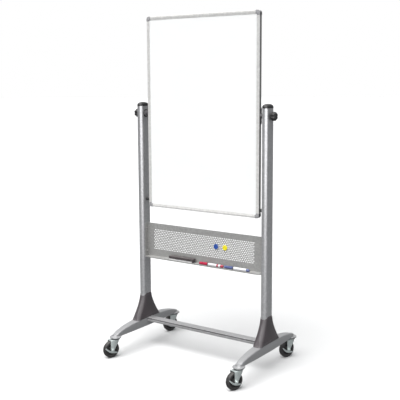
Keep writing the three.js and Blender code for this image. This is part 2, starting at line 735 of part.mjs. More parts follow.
// A caster in its own frame: the stem on the Z axis, the axle along X, the wheel behind it at -Y
function casterHead() {
  const rim = HEAD_DIAMETER / 2;
  const pinFoot = crownFoot - FIT;
  const pinHead = pinFoot - KINGPIN_HEAD_THICKNESS;
  const pin = KINGPIN_DIAMETER / 2;
  const stem = STEM_DIAMETER / 2;
  return latheZ([
    [0, pinHead], [KINGPIN_HEAD_DIAMETER / 2, pinHead], [KINGPIN_HEAD_DIAMETER / 2, pinFoot], [pin, pinFoot],
    [pin, headFoot], [rim - 1.5, headFoot], [rim, headFoot + 1.5], [rim, headTop - 2.5], [rim - 3, headTop],
    [stem, headTop], [stem, headTop + STEM_LENGTH - 1],
    [stem - 1, headTop + STEM_LENGTH], [0, headTop + STEM_LENGTH],
  ]);
}

function casterFork() {
  const crownHole = rodZ(KINGPIN_DIAMETER + 2 * SHAFT_CLEARANCE, 0, headTop);
  const trailEdge = -CASTER_TRAIL - FORK_PAST_AXLE;
  const disc = rodZ(CROWN_DIAMETER, crownFoot, crownTop, 20);
  const deck = box(-forkOuter, forkOuter, trailEdge, FORK_PAST_STEM, crownFoot, crownTop);
  const sideShape = new THREE.Shape();
  sideShape.moveTo(trailEdge, crownTop);
  sideShape.absarc(-CASTER_TRAIL, axleHeight, FORK_EYE_RADIUS, Math.PI, Math.PI * 1.9);
  sideShape.lineTo(FORK_PAST_STEM, crownTop);
  sideShape.closePath();
  const legs = [extrudeX(sideShape, forkInner, forkOuter), extrudeX(sideShape, -forkOuter, -forkInner)];
  const eyeHole = rodX(AXLE_DIAMETER + 2 * SHAFT_CLEARANCE, -forkOuter - 1, forkOuter + 1);
  return cut(join(disc, deck, ...legs), crownHole, eyeHole.translate(0, -CASTER_TRAIL, axleHeight));
}

const brakeInner = forkOuter + FIT;
const brakeOuter = brakeInner + BRAKE_THICKNESS;

function casterAxle() {
  const shaft = AXLE_DIAMETER / 2;
  const head = AXLE_HEAD_DIAMETER / 2;
  const innerSeat = -forkOuter - FIT;
  const outerSeat = brakeOuter + FIT;
  return latheX([
    [0, innerSeat - AXLE_HEAD_THICKNESS], [head - 1, innerSeat - AXLE_HEAD_THICKNESS], [head, innerSeat - 1],
    [head, innerSeat], [shaft, innerSeat], [shaft, outerSeat], [head, outerSeat], [head, outerSeat + 1],
    [head - 1, outerSeat + AXLE_HEAD_THICKNESS], [0, outerSeat + AXLE_HEAD_THICKNESS],
  ], 12).translate(0, -CASTER_TRAIL, axleHeight);
}

function casterWheel() {
  const tread = WHEEL_DIAMETER / 2;
  const half = WHEEL_WIDTH / 2;
  const web = WHEEL_WEB_THICKNESS / 2;
  const rim = tread - WHEEL_RIM_DEPTH;
  const hub = WHEEL_HUB_DIAMETER / 2;
  const hubHalf = forkInner - HUB_GAP;
  const bore = AXLE_DIAMETER / 2 + SHAFT_CLEARANCE;
  return latheX([
    [bore, -hubHalf], [hub - 1, -hubHalf], [hub, -web], [rim, -web], [rim + 1.5, -half], [tread - 3, -half],
    [tread, -half + 4], [tread, half - 4], [tread - 3, half], [rim + 1.5, half], [rim, web], [hub, web],
    [hub - 1, hubHalf], [bore, hubHalf], [bore, -hubHalf],
  ], 24).translate(0, -CASTER_TRAIL, axleHeight);
}

// Stamped lever that hangs on the axle: a curved band with a toe at the front and a heel at the rear
function casterBrake() {
  const path = [[-44, 15], [-27, 0], [-8, -10], [11, -14], [30, -19]];
  const spine = new THREE.SplineCurve(path.map(([y, z]) => new THREE.Vector2(y, z)));
  const upper = [];
  const lower = [];
  for (let i = 0; i <= 8; i++) {
    const at = spine.getPoint(i / 8);
    const along = spine.getTangent(i / 8);
    const half = (BRAKE_BAND / 2) * (0.45 + 0.55 * Math.sin((Math.PI * i) / 8));
    upper.push([at.x - along.y * half, at.y + along.x * half]);
    lower.unshift([at.x + along.y * half, at.y - along.x * half]);
  }
  const band = extrudeX(polygon([...lower, ...upper]), brakeInner, brakeOuter);
  const eye = rodX(2 * FORK_EYE_RADIUS, brakeInner, brakeOuter);
  const hole = rodX(AXLE_DIAMETER + 2 * SHAFT_CLEARANCE, brakeInner - 1, brakeOuter + 1);
  return cut(join(band, eye), hole).translate(0, -CASTER_TRAIL, axleHeight);
}

function addCasters() {
  for (const [side, sign] of SIDES) {
    for (const [place, end] of ENDS) {
      const group = new THREE.Group();
      group.position.set(sign * uprightX, end * legHalf, 0);
      group.rotation.z = CASTER_TURN;
      model.add(group);
      const label = `${place}_${side}`;
      add(`caster_head_${label}`, casterHead(), darkSteel, group);
      add(`caster_fork_${label}`, casterFork(), zinc, group);
      add(`caster_axle_${label}`, casterAxle(), zinc, group);
      add(`caster_wheel_${label}`, casterWheel(), rubber, group);
      add(`caster_brake_${label}`, casterBrake(), zinc, group);
    }
  }
}

// ---------------------------------------------------------------- eraser, markers and magnets

const lipInner = shelfFront + TRAY_SHEET;

function addEraser() {
  const rear = lipInner + MARKER_GAP_TO_LIP + ERASER_DEPTH;
  const front = rear - ERASER_DEPTH;
  const foot0 = shelfTop + FIT;
  const backFoot = foot0 + ERASER_FELT + FIT;
  const half = ERASER_LENGTH / 2;
  const feltHalf = half - ERASER_CHEEK - FIT;
  const block = box(ERASER_X - feltHalf, ERASER_X + feltHalf, front, rear, foot0, foot0 + ERASER_FELT);
  add('eraser_felt', block, felt);
  const outline = new THREE.Shape();
  outline.moveTo(-half, foot0 + ERASER_FELT / 2);
  outline.lineTo(-half + ERASER_CHEEK, foot0 + ERASER_FELT / 2);
  outline.lineTo(-half + ERASER_CHEEK, backFoot);
  outline.lineTo(half - ERASER_CHEEK, backFoot);
  outline.lineTo(half - ERASER_CHEEK, foot0 + ERASER_FELT / 2);
  outline.lineTo(half, foot0 + ERASER_FELT / 2);
  outline.absarc(half - 3, backFoot + ERASER_BACK - 3, 3, 0, Math.PI / 2);
  outline.absarc(-half + 3, backFoot + ERASER_BACK - 3, 3, Math.PI / 2, Math.PI);
  outline.closePath();
  add('eraser_back', extrudeY(outline, front, rear).translate(ERASER_X, 0, 0), blackPlastic);
}

// Barrel, cap with a wider skirt, and a short end plug, lying along X with the cap to the left
function marker() {
  const radius = MARKER_DIAMETER / 2;
  const left = -MARKER_LENGTH / 2;
  const right = MARKER_LENGTH / 2;
  const skirt = left + MARKER_CAP_LENGTH;
  const y = lipInner + MARKER_GAP_TO_LIP + radius;
  return latheX([
    [0, left], [radius - 3, left], [radius - 1.5, left + 2], [radius, skirt - 4], [radius, skirt],
    [radius - 1, skirt], [radius - 1, right - 14], [radius - 2, right - 13], [radius - 2.5, right - 1],
    [radius - 3.5, right], [0, right],
  ], 18).translate(0, y, shelfTop + FIT + radius);
}

function magnet() {
  const radius = MAGNET_DIAMETER / 2;
  const seat = TRAY_PANEL_FRONT - FIT;
  const disc = latheZ([
    [0, 0], [radius, 0], [radius, MAGNET_THICKNESS - 2.5],
    [radius - 2.5, MAGNET_THICKNESS], [0, MAGNET_THICKNESS],
  ]);
  return disc.rotateX(Math.PI / 2).translate(0, seat, trayFoot + MAGNET_ABOVE_TRAY_FOOT);
}

function addTrayThings() {
  addEraser();
  add('marker_red', marker().translate(RED_MARKER_X, 0, 0), redPlastic);
  add('marker_blue', marker().translate(BLUE_MARKER_X, 0, 0), bluePlastic);
  add('magnet_blue', magnet().translate(BLUE_MAGNET_X, 0, 0), bluePlastic);
  add('magnet_yellow', magnet().translate(YELLOW_MAGNET_X, 0, 0), yellowPlastic);
}

// ---------------------------------------------------------------- assembly

addPanel();
addTrims();
addCornerCaps();
addPivots();
addUprights();
addBase();
add('tray', tray(), trayPaint);
addCasters();
addTrayThings();

// The origin is on the floor, under the middle of the whole outline
const extent = new THREE.Box3().setFromObject(model, true);
const middle = extent.getCenter(new THREE.Vector3());
model.position.set(-middle.x, -middle.y, -extent.min.z);
model.updateMatrixWorld(true);

export default model;
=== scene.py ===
"""Looks of a rolling whiteboard, built round the packed frame of its solid parts. Metres, +Z up."""

import json
from math import atan2, cos, pi, radians, sin, tan

import bmesh
import bpy
from bpy.props import FloatProperty, FloatVectorProperty, IntProperty, PointerProperty
from mathutils import Matrix, Vector


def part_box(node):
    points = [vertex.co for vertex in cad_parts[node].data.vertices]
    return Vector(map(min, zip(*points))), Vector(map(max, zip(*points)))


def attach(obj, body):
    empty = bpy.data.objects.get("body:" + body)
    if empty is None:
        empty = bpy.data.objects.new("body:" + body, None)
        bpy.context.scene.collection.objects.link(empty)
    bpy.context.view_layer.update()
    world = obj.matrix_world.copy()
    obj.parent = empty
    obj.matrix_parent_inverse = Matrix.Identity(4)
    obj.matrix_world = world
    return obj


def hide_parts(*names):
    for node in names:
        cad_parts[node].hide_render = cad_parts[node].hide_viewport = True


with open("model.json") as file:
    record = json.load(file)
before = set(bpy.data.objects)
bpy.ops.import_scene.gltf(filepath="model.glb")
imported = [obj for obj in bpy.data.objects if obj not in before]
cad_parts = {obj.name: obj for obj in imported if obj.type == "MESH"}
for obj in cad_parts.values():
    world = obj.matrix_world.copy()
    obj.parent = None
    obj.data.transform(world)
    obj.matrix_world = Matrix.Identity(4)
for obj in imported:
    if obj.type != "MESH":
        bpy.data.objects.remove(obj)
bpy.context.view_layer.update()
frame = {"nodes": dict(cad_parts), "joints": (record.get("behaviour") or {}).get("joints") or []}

bl_info = {
    "name": "Rolling Whiteboard Looks",
    "version": (1, 0, 0),
    "blender": (4, 5, 0),
    "location": "3D View > Sidebar > Whiteboard",
    "description": "Builds the visible pieces and finishes of a rolling whiteboard",
    "category": "Object",
}

MM = 0.001
SIDES = {"left": -1, "right": 1}
CORNERS = [f"{end}_{side}" for end in ("front", "rear") for side in SIDES]
X = Vector((1, 0, 0))
Y = Vector((0, 1, 0))
Z = Vector((0, 0, 1))


# ---------------------------------------------------------------- settings

def colour_property(name, description, default):
    return FloatVectorProperty(
        name=name, description=description, default=default, subtype="COLOR", size=3, min=0, max=1,
    )


def length_property(name, description, default):
    return FloatProperty(name=name, description=description, default=default, subtype="DISTANCE", unit="LENGTH", min=0)


class BoardSettings(bpy.types.PropertyGroup):
    """The turning board and its trim"""
    enamel: colour_property("Enamel", "Colour of the writing faces", (0.97, 0.97, 0.965))
    trim: colour_property("Trim", "Colour of the anodised trim", (0.80, 0.79, 0.77))
    # Painted shade: dark colour for the outward faces of the trims, standing in for the shade on that side.
    edge: colour_property("Trim edge shade", "Colour of the band along the board's edges", (0.22, 0.22, 0.215))
    corner: colour_property("Corner caps", "Colour of the moulded corner caps", (0.36, 0.355, 0.365))
    # Painted shade: near-black colour for the corner caps' outward faces, standing in for the shade on that side.
    corner_edge_shade: colour_property("Corner edges", "Colour of the corner caps' outer band", (0.10, 0.10, 0.10))
    trim_round: length_property("Trim rounding", "Radius along the trim's outer edges", 2.2 * MM)


class StandSettings(bpy.types.PropertyGroup):
    """Uprights, gussets, legs and cross bar"""
    paint: colour_property("Silver paint", "Colour of the painted metal", (0.37, 0.37, 0.378))
    gusset: colour_property("Gussets", "Colour of the moulded gussets", (0.065, 0.055, 0.06))
    black: colour_property("Black plastic", "Colour of caps and knobs", (0.016, 0.015, 0.016))
    # Partly painted shade: the pivot steel is kept dark for the shade in the gap between the board and the uprights.
    pivot: colour_property("Pivot steel", "Colour of the pivot plates and studs", (0.13, 0.125, 0.13))
    bar: colour_property("Cross bar", "Colour of the cross bar's anodised extrusion", (0.42, 0.415, 0.42))
    knob_lobes: IntProperty(name="Knob lobes", description="Grips round each star knob", default=6, min=3, max=12)


class TraySettings(bpy.types.PropertyGroup):
    """The perforated tray"""
    paint: colour_property("Tray paint", "Colour of the powder coat", (0.29, 0.288, 0.281))
    hole: length_property("Hole diameter", "Diameter of each hole in the panel", 6.9 * MM)
    pitch_across: length_property("Pitch across", "Distance between holes along a row", 11 * MM)
    pitch_up: length_property("Pitch up", "Distance between rows of holes", 9.5 * MM)
    rows: IntProperty(name="Rows", description="Rows of holes", default=12, min=1)
    columns: IntProperty(name="Columns", description="Holes in each row", default=58, min=1)
    margin_left: length_property("Left margin", "Panel's end to the first hole", 44 * MM)
    margin_top: length_property("Top margin", "Panel's top edge to the first row", 36 * MM)


class CasterSettings(bpy.types.PropertyGroup):
    """Swivel casters with brake levers"""
    zinc: colour_property("Zinc plate", "Colour of forks, levers and bolts", (0.60, 0.65, 0.64))
    tyre: colour_property("Tyre", "Colour of the rubber", (0.016, 0.0145, 0.015))
    hub: colour_property("Hub", "Colour of the moulded hub", (0.024, 0.022, 0.023))


class TrayThingsSettings(bpy.types.PropertyGroup):
    """Eraser, markers and magnets"""
    red: colour_property("Red", "Red of the first marker", (0.42, 0.012, 0.05))
    blue: colour_property("Blue", "Blue of the second marker", (0.085, 0.11, 0.26))
    magnet_blue: colour_property("Magnet blue", "Blue of the magnet", (0.018, 0.075, 0.36))
    yellow: colour_property("Yellow", "Yellow of the magnet", (0.92, 0.80, 0.02))
    barrel: colour_property("Barrel", "White of the marker barrels", (0.70, 0.70, 0.72))
    felt: colour_property("Felt", "Colour of the eraser's felt", (0.78, 0.77, 0.76))
    shell: colour_property("Eraser shell", "Colour of the eraser's moulded back", (0.062, 0.05, 0.053))


class StageSettings(bpy.types.PropertyGroup):
    """Camera, lights and floor"""
    camera_place: FloatVectorProperty(
        name="Camera", description="Place of the camera", default=(2.21215, -3.21223, 1.4717),
        subtype="TRANSLATION", unit="LENGTH",
    )
    camera_turn: FloatProperty(
        name="Turn", description="How far the camera looks to the left of straight ahead",
        default=radians(34.598), subtype="ANGLE", unit="ROTATION",
    )
    camera_dip: FloatProperty(
        name="Dip", description="How far the camera looks down",
        default=radians(7.948), subtype="ANGLE", unit="ROTATION",
    )
    camera_roll: FloatProperty(
        name="Roll", description="How far the camera leans sideways",
        default=radians(-0.31), subtype="ANGLE", unit="ROTATION",
    )
    lens: FloatProperty(name="Lens", description="Focal length in millimetres", default=68.344, min=1)
    key: FloatProperty(name="Key", description="Strength of the light from the front above", default=4.7, min=0)
    overhead: FloatProperty(name="Overhead", description="Strength of the light from above", default=0.5, min=0)
    strip: FloatProperty(
        name="Strip", description="Power of the upright softbox that glosses the metal", default=330, subtype="POWER",
    )
    rear: FloatProperty(name="Rear", description="Strength of the light from behind", default=1.6, min=0)
    surround: FloatProperty(name="Surround", description="Strength of the even light all round", default=0.36, min=0)
    floor: colour_property("Floor", "Colour of the floor", (0.66, 0.66, 0.66))


SETTINGS = {
    "whiteboard_board": BoardSettings,
    "whiteboard_stand": StandSettings,
    "whiteboard_tray": TraySettings,
    "whiteboard_casters": CasterSettings,
    "whiteboard_things": TrayThingsSettings,
    "whiteboard_stage": StageSettings,
}


# ---------------------------------------------------------------- mesh tools

def frame_at(origin, along, across=None):
    """Matrix that takes local Z to a direction, local X to another, and the origin to a place."""
    z = Vector(along).normalized()
    x = Vector(across) if across else z.orthogonal()
    x = (x - z * x.dot(z)).normalized()
    place = Matrix((x, z.cross(x), z)).transposed().to_4x4()
    place.translation = origin
    return place


def box_in(place, node):
    """Lowest and highest corner of a solid part, measured in another frame."""
    inverse = place.inverted()
    points = [inverse @ vertex.co for vertex in frame["nodes"][node].data.vertices]
    return Vector(map(min, zip(*points))), Vector(map(max, zip(*points)))


def circle(radius, height, count):
    return [Vector((radius * cos(2 * pi * i / count), radius * sin(2 * pi * i / count), height)) for i in range(count)]


def hexagon(radius, height, count):
    """Six-sided ring with as many points as a circle; radius is to the flats."""
    points = []
    for i in range(count):
        angle = 2 * pi * i / count
        reach = radius / cos((angle % (pi / 3)) - pi / 6)
        points.append(Vector((reach * cos(angle), reach * sin(angle), height)))
    return points


def outline(corners, steps=5):
    """Closed outline through (x, y, radius) corners, each rounded by an arc."""
    points = []
    for index, (x, y, radius) in enumerate(corners):
        here = Vector((x, y))
        before = (Vector(corners[index - 1][:2]) - here).normalized()
        after = (Vector(corners[(index + 1) % len(corners)][:2]) - here).normalized()
        if radius <= 0:
            points.append(here)
            continue
        half = before.angle(after) / 2
        centre = here + (before + after).normalized() * radius / sin(half)
        first = here + before * radius / tan(half) - centre
        last = here + after * radius / tan(half) - centre
        swing = atan2(first.cross(last), first.dot(last))
        for step in range(steps + 1):
            points.append(centre + Matrix.Rotation(swing * step / steps, 2) @ first)
    return points


def rounded_rectangle(low, high, radius, steps=5):
    return outline([(low[0], low[1], radius), (high[0], low[1], radius),
                    (high[0], high[1], radius), (low[0], high[1], radius)], steps)


def stadium(half_width, half_length, steps):
    """Straight sides along Y and half-round ends."""
    straight = half_length - half_width
    points = []
    for turn, centre in ((0, straight), (pi, -straight)):
        for step in range(steps + 1):
            angle = turn + pi * step / steps
            points.append(Vector((half_width * cos(angle), centre + half_width * sin(angle))))
    return points


def add_loft(mesh, rings, closed=False, slots=None):
    """Skin over a row of rings of equal count; closed joins the last ring to the first."""
    rows = [[mesh.verts.new(point) for point in ring] for ring in rings]
    pairs = list(zip(rows, rows[1:]))
    if closed:
        pairs.append((rows[-1], rows[0]))
    for band, (low, high) in enumerate(pairs):
        for i, point in enumerate(low):
            j = (i + 1) % len(low)
            face = mesh.faces.new((point, low[j], high[j], high[i]))
            face.material_index = slots[band] if slots else 0
    if not closed:
        mesh.faces.new(list(reversed(rows[0]))).material_index = slots[0] if slots else 0
        mesh.faces.new(rows[-1]).material_index = slots[-1] if slots else 0


def add_lathe(mesh, profile, place, count=48, closed=False, slots=None):
    """Turned shape from (radius, height) pairs about the place's own Z axis."""
    add_loft(mesh, [[place @ point for point in circle(r, h, count)] for r, h in profile], closed, slots)


def add_prism(mesh, points, place, depth):
    """Outline in the place's own XY plane, pushed along its Z axis."""
    rings = [[place @ Vector((p[0], p[1], height)) for p in points] for height in (0, depth)]
    add_loft(mesh, rings)


def add_plate(mesh, points, holes, place, thickness):
    """Flat sheet with holes, standing on the place's own XY plane."""
    curve = bpy.data.curves.new("plate", "CURVE")
    curve.dimensions = "2D"
    curve.fill_mode = "BOTH"
    curve.extrude = thickness / 2
    for loop in [points, *holes]:
        spline = curve.splines.new("POLY")
        spline.points.add(len(loop) - 1)
        for target, source in zip(spline.points, loop):
            target.co = (source[0], source[1], 0, 1)
        spline.use_cyclic_u = True
    holder = bpy.data.objects.new("plate", curve)
    sheet = bpy.data.meshes.new_from_object(holder)
    sheet.transform(place @ Matrix.Translation((0, 0, thickness / 2)))
    mesh.from_mesh(sheet)
    bpy.data.objects.remove(holder)
    bpy.data.curves.remove(curve)
    bpy.data.meshes.remove(sheet)


def add_box(mesh, low, high):
    add_prism(mesh, [(low[0], low[1]), (high[0], low[1]), (high[0], high[1]), (low[0], high[1])],
              Matrix.Translation((0, 0, low[2])), high[2] - low[2])


def add_button_screw(mesh, place, radius, height):
    """Domed screw head with a six-sided socket."""
    socket = radius * 0.42
    count = 24
    dome = [(1, 0), (1, 0.25), (0.93, 0.6), (0.78, 0.85), (0.6, 0.97)]
    rings = [circle(radius * r, height * h, count) for r, h in dome]
    rings += [hexagon(socket, height, count), hexagon(socket * 0.94, height * 0.35, count)]
    add_loft(mesh, [[place @ point for point in ring] for ring in rings])


def add_hex_head(mesh, place, radius, height):
    """Bolt head or nut with six flats and eased corners; radius is to the flats."""
    count = 24
    rings = [hexagon(radius, 0, count), hexagon(radius, height * 0.8, count), circle(radius * 0.97, height, count),
             circle(radius * 0.55, height, count), circle(radius * 0.5, height * 1.2, count)]
    add_loft(mesh, [[place @ point for point in ring] for ring in rings])


def to_mesh(name, shape):
    """Mesh data from a bmesh, with doubled points merged and its faces turned outwards."""
    bmesh.ops.remove_doubles(shape, verts=shape.verts, dist=1e-6)
    bmesh.ops.recalc_face_normals(shape, faces=shape.faces)
    data = bpy.data.meshes.new(name)
    shape.to_mesh(data)
    shape.free()
    return data


def new_object(name, data):
    piece = bpy.data.objects.new(name, data)
    bpy.context.scene.collection.objects.link(piece)
    return piece


def keep_modified(piece):
    """Replaces a piece's mesh by what its modifiers make of it."""
    bpy.context.view_layer.update()
    evaluated = piece.evaluated_get(bpy.context.evaluated_depsgraph_get())
    data = bpy.data.meshes.new_from_object(evaluated)
    piece.modifiers.clear()
    piece.data = data


def combine(data, shape, operation):
    """Mesh data cut by, joined to or kept inside a second closed shape."""
    piece = new_object("combined", data)
    tool = new_object("tool", to_mesh("tool", shape))
    modifier = piece.modifiers.new("combine", "BOOLEAN")
    modifier.operation = operation
    modifier.object = tool
    modifier.solver = "EXACT"
    keep_modified(piece)
    result = piece.data
    bpy.data.objects.remove(piece)
    bpy.data.objects.remove(tool)
    return result


def finish_piece(name, data, finishes, body, nodes=(), edge=0.0, edge_steps=2, sharp=32):
    """Places a mesh in the scene with its finishes, eased edges and smooth shading, riding on a body."""
    piece = new_object(name, data)
    data.name = name
    while len(data.materials) < len(finishes):
        data.materials.append(None)
    for index, finish in enumerate(finishes):
        data.materials[index] = finish
    if edge:
        ease = piece.modifiers.new("eased edges", "BEVEL")
        ease.width = edge
        ease.segments = edge_steps
        ease.limit_method = "ANGLE"
        ease.angle_limit = radians(sharp)
        ease.use_clamp_overlap = True
        keep_modified(piece)
    piece.data.shade_smooth()
    piece.data.set_sharp_from_angle(angle=radians(sharp))
    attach(piece, body)
    if nodes:
        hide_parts(*nodes)
    return piece


def paint_node(node_name, finish):
    """Gives a solid part that stays in view its finish."""
    target = frame["nodes"][node_name]
    target.data.materials.clear()
    target.data.materials.append(finish)


# ---------------------------------------------------------------- shader effects

def effect_group(name, inputs, outputs):
    """New shader node group with named sockets, and its two end nodes."""
    group = bpy.data.node_groups.new(name, "ShaderNodeTree")
    for label, kind, default in inputs:
        socket = group.interface.new_socket(label, in_out="INPUT", socket_type=kind)
        socket.default_value = default
    for label, kind in outputs:
        group.interface.new_socket(label, in_out="OUTPUT", socket_type=kind)
    return group, group.nodes.new("NodeGroupInput"), group.nodes.new("NodeGroupOutput")


def node(tree, kind, links=None, **settings):
    """Adds a node, sets its fields, and feeds its inputs with values or other nodes' outputs."""
    made = tree.nodes.new(kind)
    for field, value in settings.items():
        setattr(made, field, value)
    for key, source in (links or {}).items():
        if isinstance(source, bpy.types.NodeSocket):
            tree.links.new(source, made.inputs[key])
        else:
            made.inputs[key].default_value = source
    return made


def mix_colour(tree, factor, first, second, blend="MIX"):
    made = tree.nodes.new("ShaderNodeMix")
    made.data_type = "RGBA"
    made.blend_type = blend
    for key, source in ((0, factor), (6, first), (7, second)):
        if isinstance(source, bpy.types.NodeSocket):
            tree.links.new(source, made.inputs[key])
        else:
            made.inputs[key].default_value = source
    return made.outputs[2]


def noise(tree, vector, scale, detail=4.0, rough=0.55):
    links = {"Scale": scale, "Detail": detail, "Roughness": rough}
    if vector:
        links["Vector"] = vector
    return node(tree, "ShaderNodeTexNoise", links).outputs["Fac"]


def math_node(tree, operation, first, second=0.0, clamp=False):
    return node(tree, "ShaderNodeMath", {0: first, 1: second}, operation=operation, use_clamp=clamp).outputs[0]


def remap(tree, value, low, high, to_low, to_high):
    links = {"Value": value, "From Min": low, "From Max": high, "To Min": to_low, "To Max": to_high}
    return node(tree, "ShaderNodeMapRange", links).outputs["Result"]


def mottle_group():
    """Slow drift of tone and gloss over a surface."""
    group, given, result = effect_group("Tone and Gloss Drift", [
        ("Base", "NodeSocketColor", (0.5, 0.5, 0.5, 1)), ("Drift", "NodeSocketColor", (0.4, 0.4, 0.4, 1)),
        ("Scale", "NodeSocketFloat", 6.0), ("Dullest", "NodeSocketFloat", 0.6), ("Glossiest", "NodeSocketFloat", 0.4),
    ], [("Color", "NodeSocketColor"), ("Roughness", "NodeSocketFloat")])
    place = node(group, "ShaderNodeTexCoord").outputs["Object"]
    cloud = noise(group, place, given.outputs["Scale"], 5.0)
    tone = remap(group, cloud, 0.3, 0.7, 0.0, 1.0)
    colour = mix_colour(group, tone, given.outputs["Base"], given.outputs["Drift"])
    far = node(group, "ShaderNodeVectorMath", {0: place, 1: (3.1, 1.7, 2.3)}, operation="ADD").outputs[0]
    patch = remap(group, noise(group, far, given.outputs["Scale"], 6.0, 0.7), 0.3, 0.7, 0.0, 1.0)
    spread = math_node(group, "SUBTRACT", given.outputs["Dullest"], given.outputs["Glossiest"])
    rough = math_node(group, "ADD", math_node(group, "MULTIPLY", patch, spread), given.outputs["Glossiest"])
    group.links.new(colour, result.inputs["Color"])
    group.links.new(rough, result.inputs["Roughness"])
    return group


def grain_group():
    """Fine moulded or powder-coated grain as a height."""
    group, given, result = effect_group("Surface Grain", [
        ("Scale", "NodeSocketFloat", 900.0), ("Orange Peel", "NodeSocketFloat", 0.4),
    ], [("Height", "NodeSocketFloat")])
    place = node(group, "ShaderNodeTexCoord").outputs["Object"]
    fine = noise(group, place, given.outputs["Scale"], 2.0)
    broad_scale = math_node(group, "MULTIPLY", given.outputs["Scale"], 0.18)
    broad = math_node(group, "MULTIPLY", noise(group, place, broad_scale, 1.0), given.outputs["Orange Peel"])
    group.links.new(math_node(group, "ADD", fine, broad), result.inputs["Height"])
    return group


def edge_wear_group():
    """Paint or plastic rubbed bright along convex edges."""
    group, given, result = effect_group("Rubbed Edges", [
        ("Color", "NodeSocketColor", (0.5, 0.5, 0.5, 1)), ("Worn", "NodeSocketColor", (0.8, 0.8, 0.8, 1)),
        ("Amount", "NodeSocketFloat", 0.5), ("Scale", "NodeSocketFloat", 60.0),
    ], [("Color", "NodeSocketColor"), ("Mask", "NodeSocketFloat")])
    sharpness = node(group, "ShaderNodeNewGeometry").outputs["Pointiness"]
    edges = remap(group, sharpness, 0.52, 0.60, 0.0, 1.0)
    place = node(group, "ShaderNodeTexCoord").outputs["Object"]
    broken = remap(group, noise(group, place, given.outputs["Scale"], 6.0, 0.7), 0.42, 0.62, 0.0, 1.0)
    mask = math_node(group, "MULTIPLY", edges, broken)
    mask = math_node(group, "MULTIPLY", mask, given.outputs["Amount"], True)
    group.links.new(mix_colour(group, mask, given.outputs["Color"], given.outputs["Worn"]), result.inputs["Color"])
    group.links.new(mask, result.inputs["Mask"])
    return group


def dust_group():
    """Thin dust that settles on faces turned upwards."""
    group, given, result = effect_group("Settled Dust", [
        ("Color", "NodeSocketColor", (0.5, 0.5, 0.5, 1)), ("Roughness", "NodeSocketFloat", 0.5),
        ("Dust", "NodeSocketColor", (0.62, 0.60, 0.56, 1)), ("Amount", "NodeSocketFloat", 0.2),
    ], [("Color", "NodeSocketColor"), ("Roughness", "NodeSocketFloat")])
    normal = node(group, "ShaderNodeNewGeometry").outputs["Normal"]
    upward = node(group, "ShaderNodeSeparateXYZ", {0: normal}).outputs["Z"]
    facing = remap(group, upward, 0.5, 1.0, 0.0, 1.0)
    place = node(group, "ShaderNodeTexCoord").outputs["Object"]
    cloud = remap(group, noise(group, place, 45.0, 6.0, 0.65), 0.35, 0.7, 0.2, 1.0)
    mask = math_node(group, "MULTIPLY", math_node(group, "MULTIPLY", facing, cloud), given.outputs["Amount"], True)
    duller = math_node(group, "ADD", given.outputs["Roughness"], math_node(group, "MULTIPLY", mask, 0.5), True)
    group.links.new(mix_colour(group, mask, given.outputs["Color"], given.outputs["Dust"]), result.inputs["Color"])
    group.links.new(duller, result.inputs["Roughness"])
    return group


def brushed_group():
    """Fine drawn lines along one axis, for drawn and rolled metal."""
    group, given, result = effect_group("Drawn Lines", [
        ("Stretch", "NodeSocketVector", (1.0, 1.0, 0.02)), ("Scale", "NodeSocketFloat", 700.0),
        ("Color", "NodeSocketColor", (0.5, 0.5, 0.5, 1)), ("Line", "NodeSocketColor", (0.4, 0.4, 0.4, 1)),
    ], [("Color", "NodeSocketColor"), ("Height", "NodeSocketFloat")])
    place = node(group, "ShaderNodeTexCoord").outputs["Object"]
    stretched = node(group, "ShaderNodeVectorMath", {0: place, 1: given.outputs["Stretch"]}, operation="MULTIPLY")
    lines = noise(group, stretched.outputs[0], given.outputs["Scale"], 3.0, 0.6)
    tone = remap(group, lines, 0.35, 0.65, 0.0, 1.0)
    group.links.new(mix_colour(group, tone, given.outputs["Color"], given.outputs["Line"]), result.inputs["Color"])
    group.links.new(lines, result.inputs["Height"])
    return group


EFFECTS = {
    "mottle": mottle_group, "grain": grain_group, "wear": edge_wear_group, "dust": dust_group, "brushed": brushed_group,
}
effects = {}


def effect(tree, name, links):
    """Places one of the shared effects in a material."""
    if name not in effects:
        effects[name] = EFFECTS[name]()
    return node(tree, "ShaderNodeGroup", links, node_tree=effects[name])


def shade(colour, factor):
    return tuple(min(channel * factor, 1) for channel in colour[:3]) + (1,)


def new_finish(name, **plain):
    """Material with one Principled shader; plain values go straight on the shader's sockets."""
    finish = bpy.data.materials.new(name)
    finish.use_nodes = True
    tree = finish.node_tree
    shader = tree.nodes["Principled BSDF"]
    for key, value in plain.items():
        shader.inputs[key.replace("_", " ")].default_value = value
    return finish, tree, shader


def feed(tree, shader, colour, roughness, height=None, strength=0.1, depth=0.0002):
    """Joins a colour, a roughness and a height to the shader."""
    tree.links.new(colour, shader.inputs["Base Color"])
    tree.links.new(roughness, shader.inputs["Roughness"])
    if height:
        bump = node(tree, "ShaderNodeBump", {"Height": height, "Strength": strength, "Distance": depth})
        tree.links.new(bump.outputs["Normal"], shader.inputs["Normal"])


# ---------------------------------------------------------------- finishes

